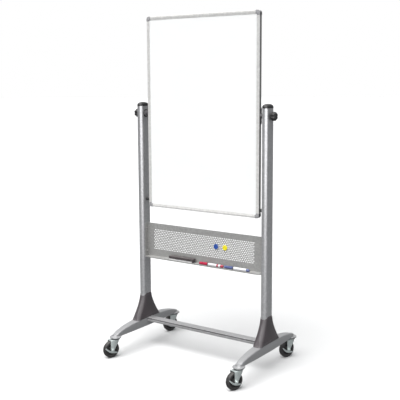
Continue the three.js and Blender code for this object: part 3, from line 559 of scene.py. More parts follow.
def painted_silver(name, colour, metallic=0.5, gloss=0.28, dust=0.05):
    """Metallic paint: flake sparkle, a little orange peel, rubbed edges and settled dust."""
    finish, tree, shader = new_finish(name, Metallic=metallic, Coat_Weight=0.15, Coat_Roughness=0.25)
    drift = effect(tree, "mottle", {
        "Base": shade(colour, 1.0), "Drift": shade(colour, 0.93), "Scale": 3.5,
        "Dullest": gloss + 0.1, "Glossiest": gloss,
    })
    place = node(tree, "ShaderNodeTexCoord").outputs["Object"]
    flakes = remap(tree, noise(tree, place, 2600.0, 1.0), 0.5, 0.75, 0.0, 0.22)
    sparkle = mix_colour(tree, flakes, drift.outputs["Color"], shade(colour, 1.5))
    worn = effect(tree, "wear", {"Color": sparkle, "Worn": shade(colour, 1.45), "Amount": 0.55, "Scale": 90.0})
    dusty = effect(tree, "dust", {
        "Color": worn.outputs["Color"], "Roughness": drift.outputs["Roughness"], "Amount": dust,
    })
    grain = effect(tree, "grain", {"Scale": 1100.0, "Orange Peel": 1.2})
    feed(tree, shader, dusty.outputs["Color"], dusty.outputs["Roughness"], grain.outputs["Height"], 0.12, 0.0001)
    return finish


def moulded_plastic(name, colour, gloss=0.42, grain_scale=1400.0, relief=0.25, wear=0.4, dust=0.12):
    """Moulded plastic: fine spark-eroded grain, rubbed edges and settled dust."""
    finish, tree, shader = new_finish(name, IOR=1.47)
    drift = effect(tree, "mottle", {
        "Base": shade(colour, 1.0), "Drift": shade(colour, 0.82), "Scale": 12.0,
        "Dullest": gloss + 0.16, "Glossiest": gloss,
    })
    worn = effect(tree, "wear", {
        "Color": drift.outputs["Color"], "Worn": shade(tuple(c + 0.10 for c in colour), 1.3),
        "Amount": wear, "Scale": 130.0,
    })
    dusty = effect(tree, "dust", {
        "Color": worn.outputs["Color"], "Roughness": drift.outputs["Roughness"], "Amount": dust,
    })
    grain = effect(tree, "grain", {"Scale": grain_scale, "Orange Peel": 0.3})
    feed(tree, shader, dusty.outputs["Color"], dusty.outputs["Roughness"], grain.outputs["Height"], relief, 0.0002)
    return finish


def drawn_aluminium(name, colour, stretch, metallic=0.35):
    """Satin anodised trim with drawing lines along its length."""
    finish, tree, shader = new_finish(name, Metallic=metallic)
    drift = effect(tree, "mottle", {
        "Base": shade(colour, 1.0), "Drift": shade(colour, 0.94), "Scale": 5.0, "Dullest": 0.44, "Glossiest": 0.34,
    })
    lines = effect(tree, "brushed", {
        "Stretch": stretch, "Color": drift.outputs["Color"], "Line": shade(colour, 0.86), "Scale": 1500.0,
    })
    worn = effect(tree, "wear", {"Color": lines.outputs["Color"], "Worn": shade(colour, 1.25), "Amount": 0.5})
    feed(tree, shader, worn.outputs["Color"], drift.outputs["Roughness"], lines.outputs["Height"], 0.12, 0.0001)
    return finish


def zinc_plate(name, colour, dullest=0.42, glossiest=0.26, metallic=0.6):
    """Bright zinc plate: soft crystalline bloom, rolled lines and rubbed edges."""
    finish, tree, shader = new_finish(name, Metallic=metallic)
    drift = effect(tree, "mottle", {
        "Base": shade(colour, 1.0), "Drift": shade(colour, 0.8), "Scale": 70.0,
        "Dullest": dullest, "Glossiest": glossiest,
    })
    place = node(tree, "ShaderNodeTexCoord").outputs["Object"]
    crystals = node(tree, "ShaderNodeTexVoronoi", {"Vector": place, "Scale": 420.0}).outputs["Distance"]
    bloom = mix_colour(tree, remap(tree, crystals, 0.1, 0.8, 0.0, 0.25), drift.outputs["Color"], shade(colour, 1.25))
    worn = effect(tree, "wear", {"Color": bloom, "Worn": shade(colour, 1.5), "Amount": 0.6, "Scale": 160.0})
    lines = effect(tree, "brushed", {"Stretch": (1.0, 1.0, 0.06), "Scale": 900.0})
    feed(tree, shader, worn.outputs["Color"], drift.outputs["Roughness"], lines.outputs["Height"], 0.08, 0.0001)
    return finish


def white_enamel(name, colour):
    """Glossy writing face with a faint waviness and dull wiped patches."""
    finish, tree, shader = new_finish(name, Coat_Weight=0.3, Coat_Roughness=0.08, IOR=1.5)
    place = node(tree, "ShaderNodeTexCoord").outputs["Object"]
    sweep = node(tree, "ShaderNodeVectorMath", {0: place, 1: (1.0, 1.0, 2.6)}, operation="MULTIPLY").outputs[0]
    wiped = remap(tree, noise(tree, sweep, 4.0, 7.0, 0.62), 0.45, 0.75, 0.0, 1.0)
    ghost = mix_colour(tree, math_node(tree, "MULTIPLY", wiped, 0.35), shade(colour, 1.0), shade(colour, 0.965))
    rough = remap(tree, wiped, 0.0, 1.0, 0.16, 0.30)
    waves = noise(tree, place, 160.0, 2.0)
    feed(tree, shader, ghost, rough, waves, 0.02, 0.0001)
    return finish


def rubber_finish(name, colour):
    """Tyre rubber: fine pores, greyed scuffs from the floor and dust."""
    finish, tree, shader = new_finish(name, IOR=1.5)
    drift = effect(tree, "mottle", {
        "Base": shade(colour, 1.0), "Drift": shade(colour, 1.6), "Scale": 40.0, "Dullest": 0.78, "Glossiest": 0.58,
    })
    worn = effect(tree, "wear", {
        "Color": drift.outputs["Color"], "Worn": shade(tuple(c + 0.05 for c in colour), 1.4),
        "Amount": 0.7, "Scale": 150.0,
    })
    dusty = effect(tree, "dust", {
        "Color": worn.outputs["Color"], "Roughness": drift.outputs["Roughness"], "Amount": 0.18,
    })
    grain = effect(tree, "grain", {"Scale": 1700.0, "Orange Peel": 0.6})
    feed(tree, shader, dusty.outputs["Color"], dusty.outputs["Roughness"], grain.outputs["Height"], 0.3, 0.0002)
    return finish


def felt_finish(name, colour):
    """Pressed wool felt: layered fibres with marker dust along the wiping face."""
    finish, tree, shader = new_finish(name, Sheen_Weight=0.4, Sheen_Roughness=0.5)
    place = node(tree, "ShaderNodeTexCoord").outputs["Object"]
    layers = node(tree, "ShaderNodeVectorMath", {0: place, 1: (0.2, 0.2, 1.0)}, operation="MULTIPLY").outputs[0]
    fibres = noise(tree, layers, 1400.0, 6.0, 0.7)
    tone = mix_colour(tree, remap(tree, fibres, 0.3, 0.7, 0.0, 1.0), shade(colour, 1.0), shade(colour, 0.72))
    smears = remap(tree, noise(tree, place, 60.0, 5.0), 0.5, 0.75, 0.0, 0.5)
    soiled = mix_colour(tree, smears, tone, shade((0.22, 0.24, 0.30), 1.0))
    rough = remap(tree, fibres, 0.3, 0.7, 0.86, 1.0)
    feed(tree, shader, soiled, rough, fibres, 0.6, 0.0006)
    return finish


def gloss_plastic(name, colour, gloss=0.22):
    """Smooth coloured plastic with faint moulding flow and scratches."""
    finish, tree, shader = new_finish(name, IOR=1.5, Coat_Weight=0.2, Coat_Roughness=0.12)
    drift = effect(tree, "mottle", {
        "Base": shade(colour, 1.0), "Drift": shade(colour, 0.86), "Scale": 55.0,
        "Dullest": gloss + 0.16, "Glossiest": gloss,
    })
    worn = effect(tree, "wear", {
        "Color": drift.outputs["Color"], "Worn": shade(colour, 1.35), "Amount": 0.4, "Scale": 220.0,
    })
    grain = effect(tree, "grain", {"Scale": 500.0, "Orange Peel": 0.8})
    feed(tree, shader, worn.outputs["Color"], drift.outputs["Roughness"], grain.outputs["Height"], 0.05, 0.0001)
    return finish


def fibreboard(name):
    """Pressed fibre core: chips and dust."""
    finish, tree, shader = new_finish(name)
    place = node(tree, "ShaderNodeTexCoord").outputs["Object"]
    chips = node(tree, "ShaderNodeTexVoronoi", {"Vector": place, "Scale": 320.0}).outputs["Distance"]
    tone = mix_colour(tree, chips, (0.36, 0.25, 0.15, 1), (0.22, 0.15, 0.09, 1))
    rough = remap(tree, noise(tree, place, 90.0), 0.3, 0.7, 0.85, 0.97)
    feed(tree, shader, tone, rough, chips, 0.4, 0.0004)
    return finish


def stage_finish(name, colour):
    """Matt paper backdrop with the faintest unevenness."""
    finish, tree, shader = new_finish(name, Specular_IOR_Level=0.0)
    place = node(tree, "ShaderNodeTexCoord").outputs["Object"]
    cloud = noise(tree, place, 0.8, 3.0)
    tone = mix_colour(tree, cloud, shade(colour, 1.0), shade(colour, 0.985))
    feed(tree, shader, tone, remap(tree, cloud, 0.3, 0.7, 0.9, 1.0))
    return finish


# ---------------------------------------------------------------- board

def board_sheets_and_core(settings):
    enamel = white_enamel("White enamel", settings.enamel)
    paint_node("board_sheet_front", enamel)
    paint_node("board_sheet_rear", enamel)
    paint_node("board_core", fibreboard("Pressed fibre core"))


def trim_section(settings, thickness):
    """Channel with a rounded outer band and a stepped inner lip; X runs inwards from the board's edge."""
    half = thickness / 2
    wall = 1.6 * MM
    face = 18 * MM
    step = 11 * MM
    lip = half - 0.75 * MM
    front = [
        (0, -half, settings.trim_round), (step, -half, 0.7 * MM), (step + 0.9 * MM, -lip, 0.3 * MM),
        (face - 0.4 * MM, -lip, 0.3 * MM), (face, -half + wall, 0), (wall, -half + wall, 0),
    ]
    rear = [(x, -y, radius) for x, y, radius in reversed(front)]
    return outline(front + rear, 4)


def trims(settings):
    """The four drawn aluminium strips round the board."""
    for name, inward in (("left", X), ("right", -X), ("top", -Z), ("bottom", Z)):
        low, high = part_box(f"trim_{name}")
        thickness = high.y - low.y
        middle = (low + high) / 2
        along = inward.cross(Y)
        length = abs((high - low).dot(along))
        start = Vector(low if inward.dot(X + Z) > 0 else high)
        origin = Vector(middle) - along * length / 2
        origin += inward * (Vector(start) - middle).dot(inward)
        stretch = tuple(0.01 if abs(axis) > 0.5 else 1.0 for axis in along)
        shape = bmesh.new()
        add_prism(shape, trim_section(settings, thickness), frame_at(origin, along, inward), length)
        finish = drawn_aluminium(f"Anodised trim {name}", settings.trim, stretch)
        # The second finish is painted shade for the trim's outward face.
        edge = drawn_aluminium(f"Trim edge shade {name}", settings.edge, stretch)
        data = to_mesh(name, shape)
        paint_edge_shade_faces(data, -inward)
        finish_piece(f"board_trim_{name}", data, [finish, edge], "board", [f"trim_{name}"])


def paint_edge_shade_faces(data, outward):
    """Gives the faces that look out from the board's edge the second finish, a dark colour that paints on the shade of
    that side.
    """
    for face in data.polygons:
        if face.normal.dot(outward) > 0.9:
            face.material_index = 1


def corner_caps(settings):
    """Moulded L-shaped caps over the trims' ends, each with a raised rim and a slot for the panel."""
    finish = moulded_plastic("Corner plastic", settings.corner, 0.4)
    # The second finish is painted shade for the caps' outward faces.
    edge = moulded_plastic("Corner edge shade", settings.corner_edge_shade, 0.5)
    face = 18 * MM
    radius = 13.6 * MM
    panel = 8.4 * MM
    wall = 1.9 * MM
    for side, sign in SIDES.items():
        for level, up in (("bottom", -1), ("top", 1)):
            node_name = f"corner_cap_{level}_{side}"
            low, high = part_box(node_name)
            arm = high.x - low.x
            depth = high.y - low.y
            corner = Vector((high.x if sign > 0 else low.x, low.y, high.z if up > 0 else low.z))
            place = Matrix.Translation(corner) @ Matrix(((-sign, 0, 0), (0, 0, 1), (0, -up, 0))).to_4x4()
            ell = outline([
                (0, 0, radius), (arm, 0, 1.2 * MM), (arm, face, 1.2 * MM), (face, face, 3 * MM),
                (face, arm, 1.2 * MM), (0, arm, 1.2 * MM),
            ], 8)
            shape = bmesh.new()
            add_prism(shape, ell, place, depth)
            slot = bmesh.new()
            slot_place = place @ Matrix.Translation((0, 0, depth / 2 - panel))
            add_prism(slot, outline([(wall, wall, radius - wall), (60 * MM, wall, 0), (60 * MM, 60 * MM, 0),
                                     (wall, 60 * MM, 0)], 8), slot_place, 2 * panel)
            data = combine(to_mesh(node_name, shape), slot, "DIFFERENCE")
            paint_edge_shade_faces(data, X * sign)
            finish_piece(
                f"board_{node_name}", data, [finish, edge], "board", [node_name], 0.9 * MM, 3,
            )


def black_plastic():
    """The black finish that the knobs, the caps and the markers' ends share."""
    name = "Black plastic"
    colour = bpy.context.scene.whiteboard_stand.black
    return bpy.data.materials.get(name) or moulded_plastic(name, colour, 0.36)


# ---------------------------------------------------------------- pivots

def pivot_parts(settings):
    """Plates, studs, washers and star knobs on both sides."""
    # Dark steel, partly its own tone and partly painted shade of the gap beside the board.
    zinc = zinc_plate("Pivot steel with painted gap shade", settings.pivot, 0.5, 0.34, 0.6)
    black = black_plastic()
    dark = zinc_plate("Blackened screws", (0.05, 0.05, 0.052), 0.5, 0.34, 0.7)
    nylon = moulded_plastic("Nylon washer", (0.30, 0.29, 0.30), 0.38, 900.0, 0.15, 0.3)
    for side, sign in SIDES.items():
        outward = X * sign
        low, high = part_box(f"pivot_washer_{side}")
        axis = (low + high) / 2
        axis.x = 0
        place = frame_at(axis, outward, Y)
        pivot_plate(side, place, zinc, dark)
        pivot_stud(side, place, zinc)
        pivot_washer(side, place, nylon, black)
        star_knob(side, place, black, settings.knob_lobes)


def pivot_plate(side, place, zinc, dark):
    low, high = box_in(place, f"pivot_plate_{side}")
    half = high.x
    tall = high.y
    bore = 5.6 * MM
    holes = [[(p.x, p.y) for p in circle(bore, 0, 32)]]
    edge_outline = rounded_rectangle((-half, -tall), (half, tall), half * 0.92, 8)
    shape = bmesh.new()
    add_plate(shape, edge_outline, holes, place @ Matrix.Translation((0, 0, low.z)), high.z - low.z)
    finish_piece(f"pivot_side_plate_{side}", to_mesh("plate", shape), [zinc], "board",
                 [f"pivot_plate_{side}"], 0.5 * MM)
    screws = bmesh.new()
    for up in (-1, 1):
        add_button_screw(screws, place @ Matrix.Translation((0, up * tall * 0.71, high.z)), 5.5 * MM, 3.4 * MM)
    finish_piece(f"pivot_plate_screws_{side}", to_mesh("screws", screws), [dark], "board")


def pivot_stud(side, place, zinc):
    low, high = box_in(place, f"pivot_stud_{side}")
    plate_face = box_in(place, f"pivot_plate_{side}")[1].z
    washer_face = box_in(place, f"pivot_washer_{side}")[0].z
    flange = (high.x - low.x) / 2
    shape = bmesh.new()
    add_lathe(shape, [
        (4.6 * MM, low.z), (5 * MM, low.z + 0.4 * MM), (5 * MM, plate_face + 0.3 * MM),
        (flange - 0.6 * MM, plate_face + 0.3 * MM), (flange, plate_face + 0.9 * MM), (flange, plate_face + 3.4 * MM),
        (flange - 0.8 * MM, plate_face + 4.3 * MM), (10.8 * MM, plate_face + 5 * MM), (10 * MM, plate_face + 6.6 * MM),
        (10 * MM, washer_face - 1 * MM), (9.4 * MM, washer_face - 0.3 * MM), (6 * MM, washer_face - 0.3 * MM),
        (6 * MM, high.z - 1 * MM), (5 * MM, high.z),
    ], place)
    finish_piece(f"pivot_stud_turned_{side}", to_mesh("stud", shape), [zinc], "board",
                 [f"pivot_stud_{side}"])


def pivot_washer(side, place, nylon, black):
    low, high = box_in(place, f"pivot_washer_{side}")
    outer = high.x
    bore = 6.5 * MM
    shape = bmesh.new()
    add_lathe(shape, [
        (bore, low.z), (outer - 7 * MM, low.z), (outer - 6 * MM, low.z + 0.8 * MM),
        (outer - 3.6 * MM, low.z + 0.8 * MM),
        (outer - 3 * MM, low.z), (outer - 1 * MM, low.z), (outer, low.z + 1 * MM), (outer, high.z - 0.5 * MM),
        (outer - 0.5 * MM, high.z), (bore, high.z),
    ], place, 64, True, [0, 0, 1, 1, 1, 1, 1, 1, 0, 0])
    finish_piece(f"pivot_nylon_washer_{side}", to_mesh("washer", shape), [nylon, black], "stand",
                 [f"pivot_washer_{side}"])


def lobed_ring(place, radius, height, lobes, depth, count=120):
    """Ring with rounded lobes whose hollows are a share of the radius deep."""
    points = []
    for i in range(count):
        angle = 2 * pi * i / count
        hollow = ((1 + cos(lobes * angle)) / 2) ** 1.6
        reach = radius * (1 - depth * hollow)
        points.append(place @ Vector((reach * cos(angle), reach * sin(angle), height)))
    return points


def star_knob(side, place, black, lobes):
    low, high = box_in(place, f"knob_{side}")
    radius = (high.y - low.y) / 2
    foot = low.z
    length = high.z - low.z
    grip = foot + 4 * MM
    profile = [
        (0.62, foot, 0.0), (0.62, grip - 1 * MM, 0.0), (0.66, grip, 0.02), (0.86, grip + 0.6 * MM, 0.15),
        (0.95, grip + 1.8 * MM, 0.19), (0.985, grip + 4 * MM, 0.2), (1.0, grip + 8 * MM, 0.2),
        (1.0, foot + length - 7 * MM, 0.2), (0.98, foot + length - 4 * MM, 0.2), (0.93, foot + length - 1.8 * MM, 0.19),
        (0.84, foot + length - 0.4 * MM, 0.17), (0.76, foot + length, 0.14), (0.55, foot + length, 0.05),
        (0.5, foot + length - 0.9 * MM, 0.0), (0.3, foot + length - 1.1 * MM, 0.0),
        (0.05, foot + length - 1.1 * MM, 0.0),
    ]
    shape = bmesh.new()
    add_loft(shape, [lobed_ring(place, radius * scale, height, lobes, depth) for scale, height, depth in profile])
    finish_piece(f"star_knob_{side}", to_mesh("knob", shape), [black], f"knob_{side}",
                 [f"knob_{side}"], sharp=40)


# ---------------------------------------------------------------- uprights

def uprights(settings):
    """Oval tubes with their caps, foot plugs and rubber buffers."""
    paint = painted_silver("Silver paint uprights", settings.paint)
    black = black_plastic()
    rubber = rubber_finish("Buffer rubber", (0.02, 0.019, 0.02))
    steel = zinc_plate("Foot plug steel", (0.12, 0.12, 0.125), 0.5, 0.4)
    for side, sign in SIDES.items():
        low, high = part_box(f"upright_{side}")
        centre = (low + high) / 2
        place = Matrix.Translation((centre.x, centre.y, 0))
        half_width = (high.x - low.x) / 2
        half_depth = (high.y - low.y) / 2
        upright_tube(side, place, half_width, half_depth, low.z, high.z, paint)
        upright_cap(side, place, half_width, half_depth, high.z, black)
        buffer(side, sign, rubber)
        paint_node(f"upright_plug_{side}", steel)


def upright_tube(side, place, half_width, half_depth, foot, top, paint):
    wall = 2.2 * MM
    ease = 0.5 * MM
    outer = [(0, foot), (0, top - ease), (ease, top)]
    inner = [(wall - ease, top), (wall, top - ease), (wall, foot)]
    rings = []
    for inset, height in outer + inner:
        section = stadium(half_width - inset, half_depth - inset, 24)
        rings.append([place @ Vector((p.x, p.y, height)) for p in section])
    shape = bmesh.new()
    add_loft(shape, rings, closed=True)
    data = to_mesh("tube", shape)
    bore = bmesh.new()
    pivot = (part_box(f"pivot_washer_{side}")[0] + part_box(f"pivot_washer_{side}")[1]) / 2
    add_lathe(bore, [(7 * MM, -60 * MM), (7 * MM, 60 * MM)], frame_at((place.translation.x, pivot.y, pivot.z), X), 32)
    data = combine(data, bore, "DIFFERENCE")
    finish_piece(f"upright_tube_{side}", data, [paint], "stand", [f"upright_{side}"])


def upright_cap(side, place, half_width, half_depth, top, black):
    """Domed cap with a thin shadow line above the tube and a plug inside it."""
    cap_low, cap_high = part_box(f"upright_cap_{side}")
    overhang = 0.8 * MM
    rim = 3 * MM
    foot = top + 0.3 * MM
    rise = cap_high.z - foot - rim
    plug = 2.5 * MM
    profile = [(-plug, cap_low.z), (-plug, foot), (overhang - 0.5 * MM, foot), (overhang, foot + 0.6 * MM),
               (overhang, foot + rim)]
    rings = []
    for grow, height in profile:
        rings.append([(p.x, p.y, height) for p in stadium(half_width + grow, half_depth + grow, 24)])
    rim_line = stadium(half_width + overhang, half_depth + overhang, 24)
    for step in range(1, 15):
        angle = pi / 2 * step / 15
        share = cos(angle) ** 0.85
        rings.append([(p.x * share, p.y * share, foot + rim + rise * sin(angle) ** 0.95) for p in rim_line])
    shape = bmesh.new()
    add_loft(shape, [[place @ Vector(point) for point in ring] for ring in rings])
    finish_piece(f"upright_domed_cap_{side}", to_mesh("cap", shape), [black], "stand",
                 [f"upright_cap_{side}"], sharp=40)


def buffer(side, sign, rubber):
    """Rubber nose on a moulded foot."""
    low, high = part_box(f"buffer_{side}")
    centre = (low + high) / 2
    place = frame_at((0, centre.y, centre.z), X * sign, Y)
    near, far = box_in(place, f"buffer_{side}")
    radius = far.x
    nose = near.z
    profile = [(radius * 0.3, nose), (radius * 0.62, nose + 0.7 * MM), (radius * 0.8, nose + 2 * MM),
               (radius * 0.88, nose + 4 * MM), (radius * 0.88, far.z - 5 * MM), (radius * 0.8, far.z - 4.6 * MM),
               (radius * 0.8, far.z - 3.6 * MM), (radius, far.z - 3 * MM), (radius, far.z)]
    shape = bmesh.new()
    add_lathe(shape, profile, place)
    finish_piece(f"edge_buffer_{side}", to_mesh("buffer", shape), [rubber], "stand", [f"buffer_{side}"])


# ---------------------------------------------------------------- legs, gussets and cross bar

class LegShape:
    """Outer form of a leg, read from its solid: it swells from its tips to its middle."""

    def __init__(self, side):
        low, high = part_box(f"leg_{side}")
        self.middle = (low + high) / 2
        self.collar = (high.x - low.x) / 2
        self.half = (high.y - low.y) / 2 - self.collar
        self.rim_foot = low.z
        self.foot = low.z + 4 * MM
        self.top = high.z
        self.tip_height = 14 * MM
        self.half_width = 25 * MM
        self.tip_half_width = 16.5 * MM

    def top_at(self, y):
        reach = min(abs(y) / self.half, 1)
        swell = (1 - reach ** 2.4) ** 0.7
        return self.foot + self.tip_height + (self.top - self.foot - self.tip_height) * swell

    def half_width_at(self, y):
        reach = min(abs(y) / self.half, 1)
        return self.half_width - (self.half_width - self.tip_half_width) * reach ** 1.6

    def section(self, y, wall=4 * MM, edge=6 * MM):
        """Arch section, open below, as a closed ring across the leg."""
        half = self.half_width_at(y)
        top = self.top_at(y)
        foot = self.foot
        corners = [
            (-half, foot, 0.6 * MM), (-half, top, edge), (half, top, edge), (half, foot, 0.6 * MM),
            (half - wall, foot, 0.6 * MM), (half - wall, top - wall, 2 * MM),
            (-half + wall, top - wall, 2 * MM), (-half + wall, foot, 0.6 * MM),
        ]
        return [self.middle + Vector((p.x, y, p.y - self.middle.z)) for p in outline(corners, 6)]


def base(settings):
    """Legs, gussets and the cross bar between them."""
    paint = painted_silver("Silver paint base", tuple(c * 0.92 for c in settings.paint), 0.32, 0.36, 0.08)
    moulded = moulded_plastic("Gusset plastic", settings.gusset, 0.36, 1200.0, 0.3, 0.5, 0.1)
    bolts = zinc_plate("Leg bolts", (0.18, 0.18, 0.19), 0.5, 0.36)
    for side in SIDES:
        form = LegShape(side)
        leg(side, form, paint)
        leg_bolts(side, form, bolts)
        gusset(side, form, moulded)
    lengthwise = (0.01, 1.0, 1.0)
    finish = drawn_aluminium("Cross bar extrusion", settings.bar, lengthwise, 0.5)
    # Painted shade: the groove takes the bar's colour at four tenths, for the shade that falls in the recess.
    groove = drawn_aluminium("Cross bar groove shade", tuple(c * 0.4 for c in settings.bar), lengthwise, 0.4)
    cross_bar(finish, groove)


def leg(side, form, paint):
    stations = [form.half * sin(pi / 2 * (2 * i / 72 - 1)) for i in range(73)]
    shape = bmesh.new()
    add_loft(shape, [form.section(y) for y in stations])
    for end in (-1, 1):
        place = Matrix.Translation((form.middle.x, form.middle.y + end * form.half, 0))
        collar(shape, place, form)
    finish_piece(
        f"leg_shell_{side}", to_mesh("leg", shape), [paint], "stand", [f"leg_{side}"], sharp=38,
    )


def collar(shape, place, form):
    """Flared socket for a caster's stem, blended up into the leg's tip."""
    rim = form.collar
    foot = form.rim_foot
    neck = 17 * MM
    top = form.foot + form.tip_height
    profile = [
        (7 * MM, foot + 10 * MM), (7 * MM, foot), (rim - 1.2 * MM, foot), (rim - 0.3 * MM, foot + 0.5 * MM),
        (rim, foot + 1.5 * MM), (rim, foot + 4 * MM), (rim - 0.5 * MM, foot + 5.4 * MM),
        (rim - 2 * MM, foot + 6.2 * MM),
    ]
    shoulder = rim - 3 * MM - neck
    for step in range(1, 9):
        angle = radians(90) * step / 8
        profile.append((neck + shoulder * (1 - sin(angle)) ** 1.4, foot + 6.4 * MM + 6 * MM * (1 - cos(angle))))
    profile += [(neck - 1.5 * MM, top - 0.8 * MM), (neck - 4 * MM, top + 0.4 * MM), (neck - 10 * MM, top + 0.8 * MM)]
    add_lathe(shape, profile, place, 64)


def leg_bolts(side, form, bolts):
    """Two bolts from below, on a stiffening block in the leg's hollow."""
    shape = bmesh.new()
    block = 42 * MM
    low = form.middle + Vector((-21 * MM, -block, form.foot + 8 * MM - form.middle.z))
    high = form.middle + Vector((21 * MM, block, form.top - 4 * MM - form.middle.z))
    add_box(shape, low, high)
    for end in (-1, 1):
        seat = Vector((form.middle.x, form.middle.y + end * 17 * MM, low.z))
        add_lathe(shape, [(9 * MM, 0), (9 * MM, 1.4 * MM)], frame_at(seat, -Z), 32)
        add_hex_head(shape, frame_at(seat - Z * 1.4 * MM, -Z), 6.5 * MM, 5 * MM)
    finish_piece(f"leg_bolts_{side}", to_mesh("bolts", shape), [bolts], "stand", edge=0.4 * MM)


def gusset(side, form, moulded):
    """Foot cover that flares from the upright's oval to the leg's width, with chamfered corners."""
    low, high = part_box(f"gusset_{side}")
    up_low, up_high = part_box(f"upright_{side}")
    fit = 0.3 * MM
    wall = 2 * MM
    rim_x = (up_high.x - up_low.x) / 2 + fit + wall
    rim_y = (up_high.y - up_low.y) / 2 + fit + wall
    base_x = (high.x - low.x) / 2
    base_y = (high.y - low.y) / 2
    dip = 22 * MM
    steps = 16

    def rim_height(y):
        return high.z - dip * (1 - cos(min(abs(y) / rim_y, 1) * pi)) / 2

    def ring(rise, inset):
        flare = (1 - rise) ** 1.25
        half_y = rim_y + (base_y - rim_y) * flare - inset
        half_x = rim_x + (base_x - rim_x) * (1 - rise) - inset
        flat = 14 * MM * (1 - rise) ** 0.8
        points = []
        for x, y in gusset_outline(half_x, half_y, flat):
            foot = form.top_at(y) + fit
            top = rim_height(y)
            points.append(Vector((form.middle.x + x, form.middle.y + y, foot + (top - foot) * rise)))
        return points

    rises = [i / steps for i in range(steps + 1)]
    rings = [ring(rise, 0.5 * MM * max(0, (rise - 0.99) * 100)) for rise in rises]
    rings += [ring(rise, wall) for rise in reversed(rises)]
    shape = bmesh.new()
    add_loft(shape, rings, closed=True)
    finish_piece(f"gusset_cover_{side}", to_mesh("gusset", shape), [moulded], "stand",
                 [f"gusset_{side}"], sharp=28)


def gusset_outline(half_x, half_y, flat):
    """Oval whose ends flatten into a face with chamfered corners as flat grows."""
    squareness = min(flat / (14 * MM), 1)
    chamfer = min(half_x * 0.8, 9 * MM + (half_x - 9 * MM) * (1 - squareness) * 0.9)
    facet_start = Vector((half_x, half_y - chamfer * 1.5))
    facet_end = Vector((half_x - chamfer, half_y))
    quarter = []
    for share in (i / 8 for i in range(9)):
        angle = pi / 2 * share
        roundish = Vector((half_x * cos(angle), half_y - half_x + half_x * sin(angle)))
        quarter.append(roundish.lerp(facet_start.lerp(facet_end, share), squareness * 0.85))
    quarter.append(Vector((0, half_y)))
    points = [(p.x, p.y) for p in quarter]
    points += [(-p.x, p.y) for p in reversed(quarter[:-1])]
    points += [(-p.x, -p.y) for p in quarter[:-1]]
    points.append((0, -half_y))
    points += [(p.x, -p.y) for p in reversed(quarter[:-1])]
    return points


def cross_bar(finish, groove):
    """Extruded bar with rounded edges and a groove along its front and rear faces."""
    low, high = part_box("cross_bar")
    centre = (low + high) / 2
    half = (high.y - low.y) / 2
    top = (high.z - low.z) / 2
    groove_top = top - 3.5 * MM
    groove_foot = groove_top - 5 * MM
    deep = half - 4 * MM
    front = [
        (-half, -top, 5 * MM), (-half, groove_foot, 1 * MM), (-deep, groove_foot, 0.5 * MM),
        (-deep, groove_top, 0.5 * MM), (-half, groove_top, 0.9 * MM), (-half, top, 0.9 * MM),
    ]
    rear = [(-x, y, radius) for x, y, radius in reversed(front)]
    place = frame_at((low.x, centre.y, centre.z), X, Y)
    shape = bmesh.new()
    add_prism(shape, outline(front + rear, 6), place, high.x - low.x)
    data = to_mesh("bar", shape)
    # The groove's faces get the second finish, painted shade for the recess.
    groove_middle = centre.z + (groove_top + groove_foot) / 2
    for face in data.polygons:
        level = abs(face.center.z - groove_middle) < 3 * MM
        recessed = abs(face.center.y - centre.y) < half - 0.5 * MM
        if level and recessed and abs(face.normal.x) < 0.5:
            face.material_index = 1
    finish_piece("cross_bar_extrusion", data, [finish, groove], "stand", ["cross_bar"])


# ---------------------------------------------------------------- tray

def tray(settings):
    """Folded sheet: perforated panel, end flanges, shelf and a beaded front lip."""
    paint = painted_silver("Tray powder coat", settings.paint, 0.15, 0.46, 0.10)
    low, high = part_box("tray")
    sheet = 1.6 * MM
    bend = 3.2 * MM
    parts = [
        ("panel", tray_panel(settings, low, high, sheet, bend)),
        ("flanges", tray_flanges(low, high, sheet, bend)),
        ("shelf", tray_shelf(low, high, sheet, bend)),
    ]
    for name, shape in parts:
        nodes = ["tray"] if name == "panel" else []
        finish_piece(f"tray_{name}", to_mesh(name, shape), [paint], "stand", nodes, sharp=34)
    tray_screws(low, high, sheet, paint)


def tray_panel(settings, low, high, sheet, bend):
    """The flat panel with its staggered field of holes."""
    start = low.x + settings.margin_left
    radius = settings.hole / 2
    holes = []
    for row in range(settings.rows):
        z = high.z - settings.margin_top - row * settings.pitch_up
        shift = (1 - row % 2) * settings.pitch_across / 2
        for column in range(settings.columns):
            x = start + shift + column * settings.pitch_across
            holes.append([(x + p.x, z + p.y) for p in circle(radius, 0, 12)])
    edge = [
        (low.x + bend, low.z + bend), (high.x - bend, low.z + bend), (high.x - bend, high.z), (low.x + bend, high.z),
    ]
    shape = bmesh.new()
    add_plate(shape, edge, holes, frame_at((0, high.y, 0), -Y, X), sheet)
    return shape


def tray_flanges(low, high, sheet, bend):
    """Rounded vertical folds with a flange in front of each."""
    shape = bmesh.new()
    front = high.y - sheet - 29 * MM
    for sign, end in ((-1, low.x), (1, high.x)):
        inner = bend - sheet
        centre = Vector((end - sign * bend, high.y - bend))
        arc = []
        for radius, order in ((bend, 1), (inner, -1)):
            stretch = []
            for step in range(7):
                angle = pi / 2 * step / 6
                stretch.append(Vector((centre.x + sign * radius * cos(angle), centre.y + radius * sin(angle))))
            arc += stretch[::order]
        add_prism(shape, arc, Matrix.Translation((0, 0, low.z + 0.5 * MM)), high.z - low.z - 0.5 * MM)
        face = outline([
            (front, low.z, 0), (high.y - bend, low.z, 0), (high.y - bend, high.z, 0), (front, high.z, 12 * MM),
        ], 8)
        place = Matrix(((0, 0, 1), (1, 0, 0), (0, 1, 0))).to_4x4()
        place.translation = (end if sign < 0 else end - sheet, 0, 0)
        add_prism(shape, face, place, sheet)
    return shape


